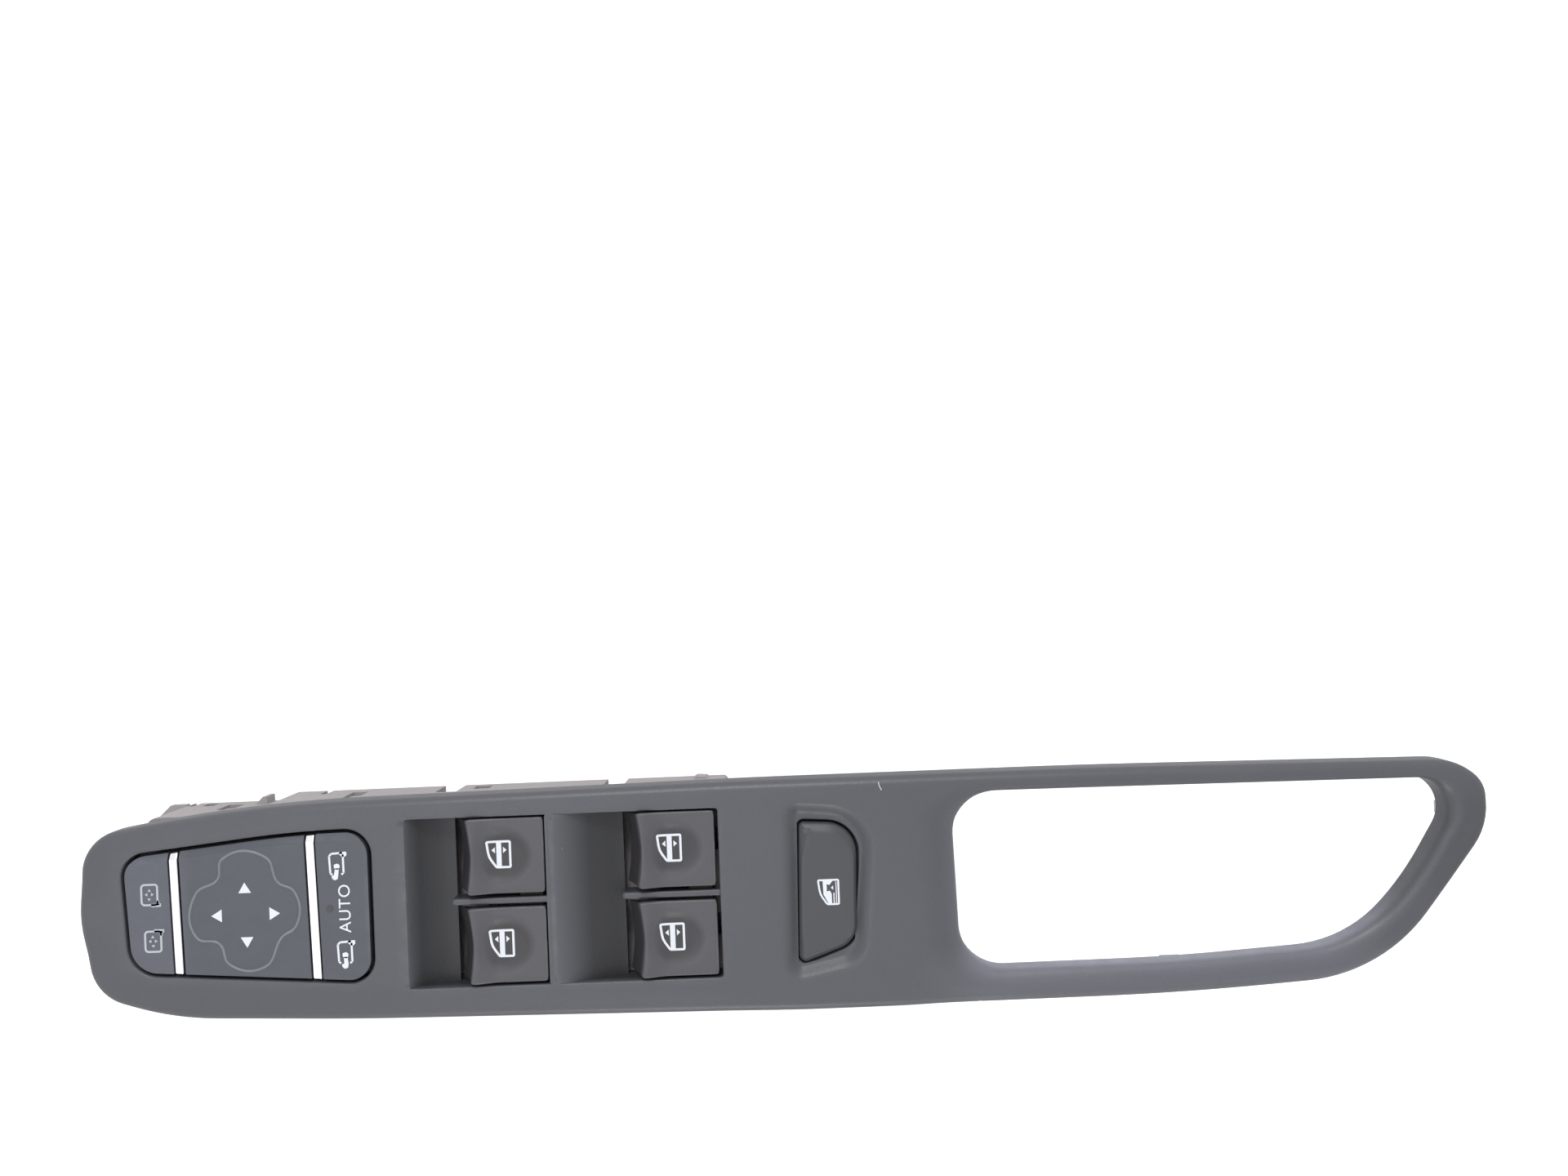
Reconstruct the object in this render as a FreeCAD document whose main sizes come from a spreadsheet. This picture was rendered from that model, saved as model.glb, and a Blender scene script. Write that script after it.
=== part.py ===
import FreeCAD, Part
import math
import operator
import os
import types

import Sketcher

# Driver's door switch panel: a moulded trim panel with a pull handle loop, a mirror key module,
# four window rockers, a lock button and the switch housing underneath.
# +X runs along the panel to the handle loop, +Y to the far long side, +Z up.
# The origin is under the middle of the outline, on the plane that the base cover rests on.

os.makedirs("parts", exist_ok=True)
document = FreeCAD.newDocument("DoorSwitchPanel")
sheet = document.addObject("Spreadsheet::Sheet", "Sizes")

DIMENSIONS = {
    # levels
    "panel_top": 36.0,
    "skirt_bottom": 27.0,
    "panel_ceiling": 33.2,
    "edge_round": 2.4,
    "opening_round": 3.0,
    "deck_top": 22.0,
    "deck_thick": 2.0,
    "board_level": 10.0,
    "board_thick": 1.6,
    "pivot_level": 30.0,
    "tip_level": 15.3,
    "dome_top": 14.5,
    "mat_thick": 1.4,
    # rocker wells
    "well_near": -22.0,
    "well_far": 24.7,
    "well_wall": 2.0,
    "scoop_depth": 7.0,
    "front_well_left": -104.6,
    "front_pivot_x": -70.6,
    "rear_well_left": -63.7,
    "rear_pivot_x": -23.4,
    "far_row_y": 13.8,
    "near_row_y": -10.8,
    "rib_middle_y": 1.3,
    "rib_thick": 1.8,
    "rib_drop": 0.6,
    # rocker
    "cap_width": 20.8,
    "lip_reach": 16.1,
    "lip_rise": 7.4,
    "foot_reach": 20.6,
    "rear_reach": 4.5,
    "rear_gap": 1.0,
    "foot_gap": 0.9,
    "core_width": 15.2,
    "trunnion_radius": 1.55,
    "fit_clearance": 0.05,
    "ear_thick": 2.0,
    "ear_reach": 3.2,
    "ear_rise": 2.6,
    "leg_offset": 2.2,
    "lamp_offset": 12.5,
    # mirror module
    "key_gap": 0.8,
    "key_underside": 33.0,
    "select_centre_y": 0.6,
    "fold_centre_y": 1.0,
    "pad_centre_x": -148.9,
    "pad_centre_y": 0.3,
    "key_pin_radius": 1.2,
    "gimbal_pin_radius": 1.1,
    "plunger_radius": 1.3,
    "plunger_play": 1.3,
    "lamp_hole_half": 1.7,
    # lock button
    "lock_floor": 33.6,
    "lock_top": 35.5,
    "lock_gap": 0.45,
    "recess_slope": 40.0,
    # housing
    "housing_wall": 1.8,
    "shoulder_level": 24.6,
    "cover_thick": 2.2,
    "screw_radius": 1.35,
    "boss_radius": 3.2,
}


class Size:
    """A length with its value and the sheet expression that gives it."""

    SIGNS = {"+": operator.add, "-": operator.sub, "*": operator.mul, "/": operator.truediv}

    def __init__(self, value, text):
        self.value = float(value)
        self.text = text

    def joined(self, sign, other, flipped=False):
        left, right = (size(other), self) if flipped else (self, size(other))
        return Size(self.SIGNS[sign](left.value, right.value), f"({left.text} {sign} {right.text})")

    def __add__(self, other):
        return self.joined("+", other)

    def __radd__(self, other):
        return self.joined("+", other, True)

    def __sub__(self, other):
        return self.joined("-", other)

    def __rsub__(self, other):
        return self.joined("-", other, True)

    def __mul__(self, other):
        return self.joined("*", other)

    def __rmul__(self, other):
        return self.joined("*", other, True)

    def __truediv__(self, other):
        return self.joined("/", other)

    def __neg__(self):
        return self.joined("-", 0, True)


def size(number):
    """The number as a Size."""
    return number if isinstance(number, Size) else Size(number, f"({float(number)})")


def fill_sheet():
    """Write the driving dimensions and hand them back by name."""
    named = {}
    for row, (name, number) in enumerate(DIMENSIONS.items(), 1):
        sheet.set(f"A{row}", name)
        sheet.set(f"B{row}", str(number))
        sheet.setAlias(f"B{row}", name)
        named[name] = Size(number, f"Sizes.{name}")
    document.recompute()
    return types.SimpleNamespace(**named)


d = fill_sheet()


# Sketches and features

PLANES = {"top": "XY_Plane", "side": "XZ_Plane", "end": "YZ_Plane"}


def new_body(name):
    """An empty sub-part whose label names its file."""
    body = document.addObject("PartDesign::Body", name)
    body.Label = name
    body.AllowCompound = True
    return body


def new_sketch(body, name, plane, level):
    """A sketch on one of the body's own planes, moved along the plane's normal."""
    sketch = body.newObject("Sketcher::SketchObject", f"{body.Name}_{name}_sketch")
    role = PLANES[plane]
    support = [feature for feature in body.Origin.OriginFeatures if feature.Role == role][0]
    sketch.AttachmentSupport = [(support, "")]
    sketch.MapMode = "FlatFace"
    level = size(level)
    sketch.AttachmentOffset = FreeCAD.Placement(FreeCAD.Vector(0, 0, level.value), FreeCAD.Rotation())
    sketch.setExpression("AttachmentOffset.Base.z", level.text)
    return sketch


def bind(sketch, constraint, name, length):
    """Add a constraint and tie it to the sheet."""
    index = sketch.addConstraint(constraint)
    sketch.renameConstraint(index, name)
    sketch.setExpression(f"Constraints.{name}", length.text)


def rounded(corners):
    """For each corner: the tangent points of its round and the round's centre and angles."""
    points = [FreeCAD.Vector(corner[0].value, corner[1].value, 0) for corner in corners]
    rounds = []
    for index, point in enumerate(points):
        back = (points[index - 1] - point).normalize()
        ahead = (points[(index + 1) % len(points)] - point).normalize()
        radius = corners[index][2].value
        if radius == 0:
            rounds.append((point, point, None))
            continue
        half = back.getAngle(ahead) / 2
        reach = radius / math.tan(half)
        middle = (back + ahead).normalize()
        centre = point + middle * (radius / math.sin(half))
        start = point + back * reach
        end = point + ahead * reach
        nearest = centre - middle * radius
        rounds.append((start, end, nearest))
    for index, point in enumerate(points):
        along = rounds[index][0] - rounds[index - 1][1]
        if along.dot(point - points[index - 1]) <= 0:
            raise ValueError(f"the rounds before and at corner {index} overlap")
    return rounds


def draw_outline(sketch, tag, corners):
    """Draw a closed outline of straight sides whose corners may be rounded.

    Each corner is (x, y) or (x, y, radius). A construction point marks it, the two sides run
    through that point, and the round is tangent to both.
    """
    corners = [tuple(size(number) for number in corner) for corner in corners]
    corners = [corner if len(corner) == 3 else corner + (size(0),) for corner in corners]
    rounds = rounded(corners)
    count = len(corners)
    sides = []
    for index in range(count):
        line = Part.LineSegment(rounds[index][1], rounds[(index + 1) % count][0])
        sides.append(sketch.addGeometry(line, False))
    for index, (across, up, radius) in enumerate(corners):
        start, end, nearest = rounds[index]
        before = sides[index - 1]
        after = sides[index]
        mark = sketch.addGeometry(Part.Point(FreeCAD.Vector(across.value, up.value, 0)), True)
        bind(sketch, Sketcher.Constraint("DistanceX", -1, 1, mark, 1, across.value), f"{tag}_x{index}", across)
        bind(sketch, Sketcher.Constraint("DistanceY", -1, 1, mark, 1, up.value), f"{tag}_y{index}", up)
        if nearest is None:
            sketch.addConstraint(Sketcher.Constraint("Coincident", before, 2, after, 1))
            sketch.addConstraint(Sketcher.Constraint("Coincident", before, 2, mark, 1))
            continue
        sketch.addConstraint(Sketcher.Constraint("PointOnObject", mark, 1, before))
        sketch.addConstraint(Sketcher.Constraint("PointOnObject", mark, 1, after))
        arc = sketch.addGeometry(Part.Arc(start, nearest, end), False)
        ends = (1, 2)
        if sketch.getPoint(arc, 1).distanceToPoint(start) > sketch.getPoint(arc, 2).distanceToPoint(start):
            ends = (2, 1)
        sketch.addConstraint(Sketcher.Constraint("Tangent", before, 2, arc, ends[0]))
        sketch.addConstraint(Sketcher.Constraint("Tangent", arc, ends[1], after, 1))
        bind(sketch, Sketcher.Constraint("Radius", arc, radius.value), f"{tag}_r{index}", radius)


def draw_circle(sketch, tag, across, up, radius):
    """Draw a circle at a place given from the origin."""
    across, up, radius = size(across), size(up), size(radius)
    centre = FreeCAD.Vector(across.value, up.value, 0)
    circle = sketch.addGeometry(Part.Circle(centre, FreeCAD.Vector(0, 0, 1), radius.value), False)
    bind(sketch, Sketcher.Constraint("DistanceX", -1, 1, circle, 3, across.value), f"{tag}_x", across)
    bind(sketch, Sketcher.Constraint("DistanceY", -1, 1, circle, 3, up.value), f"{tag}_y", up)
    bind(sketch, Sketcher.Constraint("Radius", circle, radius.value), f"{tag}_r", radius)


def box_corners(left, right, near, far, radius=0):
    """The four corners of a rectangle."""
    return [(left, near, radius), (right, near, radius), (right, far, radius), (left, far, radius)]


def octagon(x, y, half):
    """An eight-sided section with the given half width."""
    near = half * (math.sqrt(2) - 1)
    signs = [(1, -1), (1, 1), (-1, 1), (-1, -1)]
    corners = []
    for index, (across, up) in enumerate(signs):
        flat = (x + half * across, y + near * up)
        steep = (x + near * across, y + half * up)
        corners += [flat, steep] if index % 2 else [steep, flat]
    return corners


def square(x, y, half):
    """A square section with the given half width."""
    return box_corners(x - half, x + half, y - half, y + half)


def sketch_outlines(body, name, plane, level, outlines):
    """A sketch of several closed outlines."""
    sketch = new_sketch(body, name, plane, level)
    for index, corners in enumerate(outlines):
        draw_outline(sketch, f"o{index}", corners)
    document.recompute()
    return sketch


def sketch_circles(body, name, plane, level, circles):
    """A sketch of several circles."""
    sketch = new_sketch(body, name, plane, level)
    for index, (across, up, radius) in enumerate(circles):
        draw_circle(sketch, f"c{index}", across, up, radius)
    document.recompute()
    return sketch


def extrude(body, name, kind, sketch, length, side="One side", reversed_way=False):
    """A pad or pocket of a sketch."""
    feature = body.newObject(f"PartDesign::{kind}", f"{body.Name}_{name}")
    feature.Profile = sketch
    feature.SideType = side
    feature.Reversed = reversed_way
    length = size(length)
    feature.Length = length.value
    feature.setExpression("Length", length.text)
    sketch.Visibility = False
    document.recompute()
    return feature


def raise_outlines(body, name, outlines, bottom, top):
    """Add material over outlines from one level up to another."""
    sketch = sketch_outlines(body, name, "top", bottom, outlines)
    return extrude(body, name, "Pad", sketch, size(top) - bottom)


def raise_posts(body, name, circles, bottom, top):
    """Add round posts from one level up to another."""
    sketch = sketch_circles(body, name, "top", bottom, circles)
    return extrude(body, name, "Pad", sketch, size(top) - bottom)


def cut_outlines(body, name, outlines, bottom, top):
    """Take away material over outlines, from one level up to another."""
    before = body.Shape.Volume
    sketch = sketch_outlines(body, name, "top", bottom, outlines)
    feature = extrude(body, name, "Pocket", sketch, size(top) - bottom, reversed_way=True)
    confirm_cut(body, name, before)
    return feature


def confirm_cut(body, name, before):
    """Stop where a cut took nothing away."""
    if body.Shape.Volume > before - 0.01:
        raise RuntimeError(f"{body.Label} {name}: the cut took nothing away")


def side_pad(body, name, corners, middle_y, width):
    """Add a side profile (X across, Z up) that reaches equally both ways from a middle plane."""
    sketch = sketch_outlines(body, name, "side", -size(middle_y), [corners])
    return extrude(body, name, "Pad", sketch, width, "Symmetric")


def side_cut(body, name, corners, middle_y, width):
    """Take away a side profile (X across, Z up) both ways from a middle plane."""
    before = body.Shape.Volume
    sketch = sketch_outlines(body, name, "side", -size(middle_y), [corners])
    feature = extrude(body, name, "Pocket", sketch, width, "Symmetric")
    confirm_cut(body, name, before)
    return feature


def rod(body, name, plane, place, middle, radius, length, kind="Pad"):
    """A round rod or bore along Y (plane side) or X (plane end), given by its middle."""
    level = -size(middle) if plane == "side" else size(middle)
    before = body.Shape.Volume if kind == "Pocket" else 0
    sketch = sketch_circles(body, name, plane, level, [place + (radius,)])
    feature = extrude(body, name, kind, sketch, length, "Symmetric")
    if kind == "Pocket":
        confirm_cut(body, name, before)
    return feature


def edges_of(body, wanted):
    """Names of the edges of a body's tip for which wanted(edge) is true."""
    shape = body.Tip.Shape
    return [f"Edge{index}" for index, edge in enumerate(shape.Edges, 1) if wanted(edge)]


def dress(body, name, kind, wanted, amount):
    """A fillet or chamfer of the edges that wanted() picks."""
    names = edges_of(body, wanted)
    base = body.Tip
    feature = body.newObject(f"PartDesign::{kind}", f"{body.Name}_{name}")
    feature.Base = (base, names)
    amount = size(amount)
    length = "Radius" if kind == "Fillet" else "Size"
    setattr(feature, length, amount.value)
    feature.setExpression(length, amount.text)
    document.recompute()
    if "Invalid" in feature.State or feature.Shape.isNull():
        raise RuntimeError(f"{body.Label} {name}: {kind} failed on {len(names)} edges")
    return feature


def break_edge(body, name, picker, level, radius):
    """Round an edge in three flat steps: a wide chamfer, then a narrow one on each of its sides."""
    wide = radius * (2 - math.sqrt(2))
    narrow = (radius - wide) * 0.4
    dress(body, f"{name}_bevel", "Chamfer", picker(level), wide)
    dress(body, f"{name}_upper_bevel", "Chamfer", picker(level), narrow)
    dress(body, f"{name}_lower_bevel", "Chamfer", picker(level - wide), narrow)


def lies_at(level, slack=0.01):
    """A test for edges that lie whole in one horizontal plane."""
    level = size(level).value
    return lambda edge: (abs(edge.BoundBox.ZMin - level) < slack and abs(edge.BoundBox.ZMax - level) < slack)


def inside(edge, left, right, near, far):
    """Whether an edge's box lies inside a rectangle seen from above."""
    box = edge.BoundBox
    return box.XMin > left and box.XMax < right and box.YMin > near and box.YMax < far


# Outlines seen from above: corners with their rounds

BEZEL_OUTLINE = [
    (-195.0, 22.8, 12),
    (-150.0, 29.9, 450),
    (-10.0, 31.65, 2000),
    (85.0, 31.7, 2500),
    (187.4, 30.2, 17),
    (195.7, 23.5, 10),
    (196.5, 11.3, 19),
    (165.3, -28.8, 46.5),
    (110.0, -32.05, 900),
    (-4.0, -32.5, 3000),
    (-120.0, -30.6, 900),
    (-171.0, -28.6, 86),
    (-193.0, -21.5, 13),
    (-195.8, 1.0, 90),
]

HOLLOW_OUTLINE = [
    (-192.2, 20.6, 9),
    (-150.0, 27.5, 440),
    (-10.0, 29.2, 1990),
    (42.5, 29.2, 2),
    (42.5, -29.6, 2),
    (-4.0, -29.9, 2990),
    (-120.0, -28.0, 890),
    (-170.6, -26.0, 80),
    (-190.8, -19.3, 10),
    (-193.4, -2.4, 44),
]

OPENING_OUTLINE = [
    (47.2, 26.5, 12),
    (191.9, 25.5, 9.2),
    (174.6, -3.2, 80),
    (157.8, -20.7, 37),
    (108.4, -23.5, 600),
    (48.5, -23.7, 12.7),
]

CHANNEL_OUTLINE = [
    (56.0, -29.8, 1),
    (110.0, -29.4, 890),
    (164.6, -26.4, 44),
    (193.8, 12.2, 16),
    (193.8, 19.6, 1),
    (191.8, 19.6, 1),
    (177.0, -4.8, 82),
    (159.2, -23.0, 39),
    (108.4, -26.0, 602),
    (56.0, -26.2, 1),
]

MODULE_OUTLINE = [
    (-182.6, 17.0, 6),
    (-134.8, 21.9, 286),
    (-114.7, 22.1, 6.6),
    (-114.7, -19.4, 6),
    (-180.9, -14.7, 8),
]

LOCK_OUTLINE = [
    (4.4, 19.8, 1.5),
    (20.4, 18.8, 8.4),
    (19.5, -14.0, 7),
    (3.2, -19.9, 2),
]

RECESS_OUTLINE = [
    (0.7, 25.5, 4),
    (25.8, 23.2, 13),
    (21.8, -19.5, 8.5),
    (-0.5, -24.2, 4.5),
]

HOUSING_OUTLINE = [
    (-190.0, -16.0, 6),
    (-190.0, 9.0, 4),
    (-180.0, 26.1, 3),
    (-150.6, 26.1, 0),
    (-147.0, 28.4, 0),
    (-16.2, 28.7, 1.5),
    (-16.2, -27.0, 1.5),
    (-150.0, -25.0, 60),
    (-178.0, -22.2, 20),
]

SHOULDER_OUTLINE = [
    (-186.0, -17.0, 4),
    (-186.0, 20.0, 6),
    (-150.0, 24.4, 20),
    (-110.0, 26.4, 2),
    (-16.2, 26.4, 1.5),
    (-16.2, -24.6, 1.5),
    (-150.0, -21.8, 60),
]


def grown(corners, amount):
    """An outline moved outwards by an amount (inwards if it is negative)."""
    points = [FreeCAD.Vector(corner[0], corner[1], 0) for corner in corners]
    turn = sum(points[index - 1].cross(point).z for index, point in enumerate(points))
    outward = 1 if turn > 0 else -1
    result = []
    for index, corner in enumerate(corners):
        point = points[index]
        back = (point - points[index - 1]).normalize()
        ahead = (points[(index + 1) % len(points)] - point).normalize()
        first = FreeCAD.Vector(back.y, -back.x, 0) * outward
        second = FreeCAD.Vector(ahead.y, -ahead.x, 0) * outward
        shift = (first + second) * (amount / (1 + first.dot(second)))
        convex = back.cross(ahead).z * outward > 0
        radius = corner[2] + (amount if convex else -amount)
        if corner[2] == 0:
            radius = 0
        result.append((point.x + shift.x, point.y + shift.y, max(radius, 0)))
    return result


def chorded(corners):
    """The same outline with a straight cut in place of each round, for faces that nobody sees."""
    sized = [tuple(size(number) for number in corner) for corner in corners]
    points = []
    for start, end, nearest in rounded(sized):
        points.append((start.x, start.y))
        if nearest is not None:
            points.append((end.x, end.y))
    return points


# The screws that join bezel and housing, and the clip towers and pins of the bezel

SCREW_PLACES = [(-109.8, 18.0), (-109.8, -15.0), (-10.6, 18.0), (-10.6, -15.0)]
TOWER_PLACES = [(37.5, 21.5), (37.5, -20.5), (110.0, -27.1), (191.0, 14.6)]
PIN_PLACES = [(36.0, 1.0), (150.0, 28.0)]
PIN_RADIUS = 1.8
PIN_BOTTOM = 21.0
TOWER_BOTTOM = 20.0
TOWER_LENGTH = 4.4
TOWER_WIDTH = 3.4

PIVOTS = {
    "front_right_rocker": (d.front_pivot_x, d.far_row_y),
    "front_left_rocker": (d.front_pivot_x, d.near_row_y),
    "rear_right_rocker": (d.rear_pivot_x, d.far_row_y),
    "rear_left_rocker": (d.rear_pivot_x, d.near_row_y),
}

WELL_MIDDLE = (d.well_near + d.well_far) / 2
WELL_WIDTH = d.well_far - d.well_near


def scoop_cut_profile(well_left, pivot_x, run_out):
    """Side profile of a well: the scoop falls from the panel to its foot, then the well is open."""
    foot = pivot_x - d.foot_reach - d.foot_gap
    rear = pivot_x + d.rear_reach + d.rear_gap
    floor = d.panel_top - d.scoop_depth
    return [
        (well_left, d.panel_top + 4, 0),
        (well_left, d.panel_top - 0.4, 0),
        (well_left + run_out, floor + 0.6, 16),
        (foot, floor, 0),
        (foot, d.skirt_bottom - 2, 0),
        (rear, d.skirt_bottom - 2, 0),
        (rear, d.panel_top + 4, 0),
    ]


def scoop_relief_profile(well_left, pivot_x, run_out):
    """Side profile under a scoop, which keeps the scoop's floor an even wall."""
    foot = pivot_x - d.foot_reach - d.foot_gap
    floor = d.panel_top - d.scoop_depth - 2.0
    return [
        (well_left + 1.0, d.skirt_bottom - 1, 0),
        (well_left + 1.0, d.panel_ceiling - 0.2, 0),
        (well_left + run_out * 0.8, floor + 0.8, 8),
        (foot - 3.5, floor, 0),
        (foot - 3.5, d.skirt_bottom - 1, 0),
    ]


def rib_profile(pivot_x):
    """Side profile of a divider rib, which stands on the scoop and bridges the housing's ears."""
    left = pivot_x - d.foot_reach - d.foot_gap - 0.2
    right = pivot_x + d.rear_reach + d.rear_gap + 0.5
    step = pivot_x - d.ear_reach - 0.5
    bridge = d.pivot_level + d.ear_rise + 0.4
    top = d.panel_top - d.rib_drop
    lower = [(left, d.skirt_bottom), (step, d.skirt_bottom), (step, bridge)]
    upper = [(right, bridge), (right, top), (left, top)]
    return lower + upper


def make_bezel():
    body = new_body("bezel")
    # the upright skirt with its rounded upper edge
    raise_outlines(body, "panel", [BEZEL_OUTLINE], d.skirt_bottom, d.panel_top)
    break_edge(body, "edge", lies_at, DIMENSIONS["panel_top"], DIMENSIONS["edge_round"])
    # the opening of the pull handle
    cut_outlines(body, "hand_opening", [OPENING_OUTLINE], d.skirt_bottom - 1, d.panel_top + 1)

    def opening_edge(level):
        at_level = lies_at(level)
        return lambda edge: at_level(edge) and inside(edge, 44, 188, -24, 27)

    break_edge(body, "opening", opening_edge, DIMENSIONS["panel_top"], DIMENSIONS["opening_round"])
    # the hollow underside, and the channel in the handle's lower and rear bars
    cut_outlines(body, "hollow", [chorded(HOLLOW_OUTLINE)], d.skirt_bottom - 1, d.panel_ceiling)
    cut_outlines(body, "handle_channel", [CHANNEL_OUTLINE], d.skirt_bottom - 1, d.panel_ceiling - 0.8)
    # solid ground for the wells, the lock recess and the collar of the mirror module
    well_block = box_corners(
        d.front_well_left - d.well_wall,
        d.rear_pivot_x + d.rear_reach + d.rear_gap + d.well_wall,
        d.well_near - d.well_wall,
        d.well_far + d.well_wall,
    )
    raise_outlines(body, "well_block", [well_block], d.skirt_bottom, d.panel_ceiling + 0.1)
    collar = chorded(grown(MODULE_OUTLINE, DIMENSIONS["key_gap"] + 2.6))
    raise_outlines(body, "module_collar", [collar], d.skirt_bottom + 4.6, d.panel_ceiling + 0.1)
    recess_block = chorded(grown(RECESS_OUTLINE, 2.4))
    raise_outlines(body, "recess_block", [recess_block], d.lock_floor - 2.2, d.panel_ceiling + 0.1)
    # wells with their finger scoops
    front = (d.front_well_left, d.front_pivot_x, 6.0)
    rear = (d.rear_well_left, d.rear_pivot_x, 11.0)
    for name, scoop in (("front", front), ("rear", rear)):
        side_cut(body, f"{name}_well", scoop_cut_profile(*scoop), WELL_MIDDLE, WELL_WIDTH)
        side_cut(body, f"{name}_relief", scoop_relief_profile(*scoop), WELL_MIDDLE, WELL_WIDTH - 1.0)
    # the ribs between the near and the far rockers
    for name, pivot_x in (("front", d.front_pivot_x), ("rear", d.rear_pivot_x)):
        side_pad(body, f"{name}_rib", rib_profile(pivot_x), d.rib_middle_y, d.rib_thick)
    # the mirror module's hole
    hole = grown(MODULE_OUTLINE, DIMENSIONS["key_gap"])
    cut_outlines(body, "module_hole", [hole], d.skirt_bottom - 1, d.panel_top + 1)
    # the soft recess of the lock button, and the button's hole
    before = body.Shape.Volume
    border = sketch_outlines(body, "recess", "top", d.panel_top, [RECESS_OUTLINE])
    recess = extrude(body, "recess", "Pocket", border, d.panel_top - d.lock_floor)
    recess.TaperAngle = -DIMENSIONS["recess_slope"]
    recess.setExpression("TaperAngle", "-Sizes.recess_slope")
    document.recompute()
    confirm_cut(body, "recess", before)
    hole = grown(LOCK_OUTLINE, DIMENSIONS["lock_gap"])
    cut_outlines(body, "lock_hole", [hole], d.skirt_bottom - 1, d.panel_top + 1)
    # screw bosses, clip towers and locating pins under the panel
    bosses = [square(x, y, d.boss_radius) for x, y in SCREW_PLACES]
    raise_outlines(body, "bosses", bosses, d.deck_top, d.panel_ceiling + 0.2)
    bores = [octagon(x, y, d.screw_radius + d.fit_clearance) for x, y in SCREW_PLACES]
    cut_outlines(body, "boss_bores", bores, d.deck_top - 1, d.panel_ceiling - 1.2)
    towers = [tower_outline(x, y) for x, y in TOWER_PLACES]
    raise_outlines(body, "towers", towers, TOWER_BOTTOM, d.panel_ceiling + 0.2)
    pins = [(x, y, PIN_RADIUS) for x, y in PIN_PLACES]
    raise_posts(body, "pins", pins, PIN_BOTTOM, d.panel_ceiling + 0.2)
    return body


def tower_outline(x, y):
    """Section of a clip tower."""
    return box_corners(x - TOWER_LENGTH / 2, x + TOWER_LENGTH / 2, y - TOWER_WIDTH / 2, y + TOWER_WIDTH / 2)


def make_spring_clips():
    """Steel clips pushed over the towers: a U with two barbed wings."""
    body = new_body("spring_clips")
    thick = 0.6
    barb = 1.7
    widest = 3.4
    top = 5.4
    half = TOWER_LENGTH / 2
    for index, (x, y) in enumerate(TOWER_PLACES):
        low = TOWER_BOTTOM - thick
        profile = [
            (x - half - thick, low),
            (x + half + thick, low),
            (x + half + barb, low + widest),
            (x + half + thick, low + top),
            (x + half, low + top),
            (x + half + barb - 0.8, low + widest),
            (x + half, low + 1.6),
            (x + half, low + thick),
            (x - half, low + thick),
            (x - half, low + 1.6),
            (x - half - barb + 0.8, low + widest),
            (x - half, low + top),
            (x - half - thick, low + top),
            (x - half - barb, low + widest),
        ]
        side_pad(body, f"clip{index}", profile, y, TOWER_WIDTH)
    return body


# Windows of the snap arms and the gaps in the far wall's lower edge: x, z, width and height
LATCH_WINDOWS = [(-163.6, 9.8, 4.6, 9.0), (-126.2, 10.3, 4.6, 10.0), (-172.0, 4.0, 3.3, 4.0), (-89.5, 5.6, 4.8, 5.0)]
WALL_GAPS = [(-99.1, 0.0, 6.2, 24.0), (-49.6, 0.0, 6.2, 24.0), (-177.4, 0.0, 1.6, 11.0), (-137.2, 0.0, 2.0, 13.0)]
# The far wall stands further out behind its step
WALL_STEP_X = -150.3
FRONT_WALL_Y = 25.2
REAR_WALL_Y = 27.5
WALL_CUT = 2.8


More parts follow.
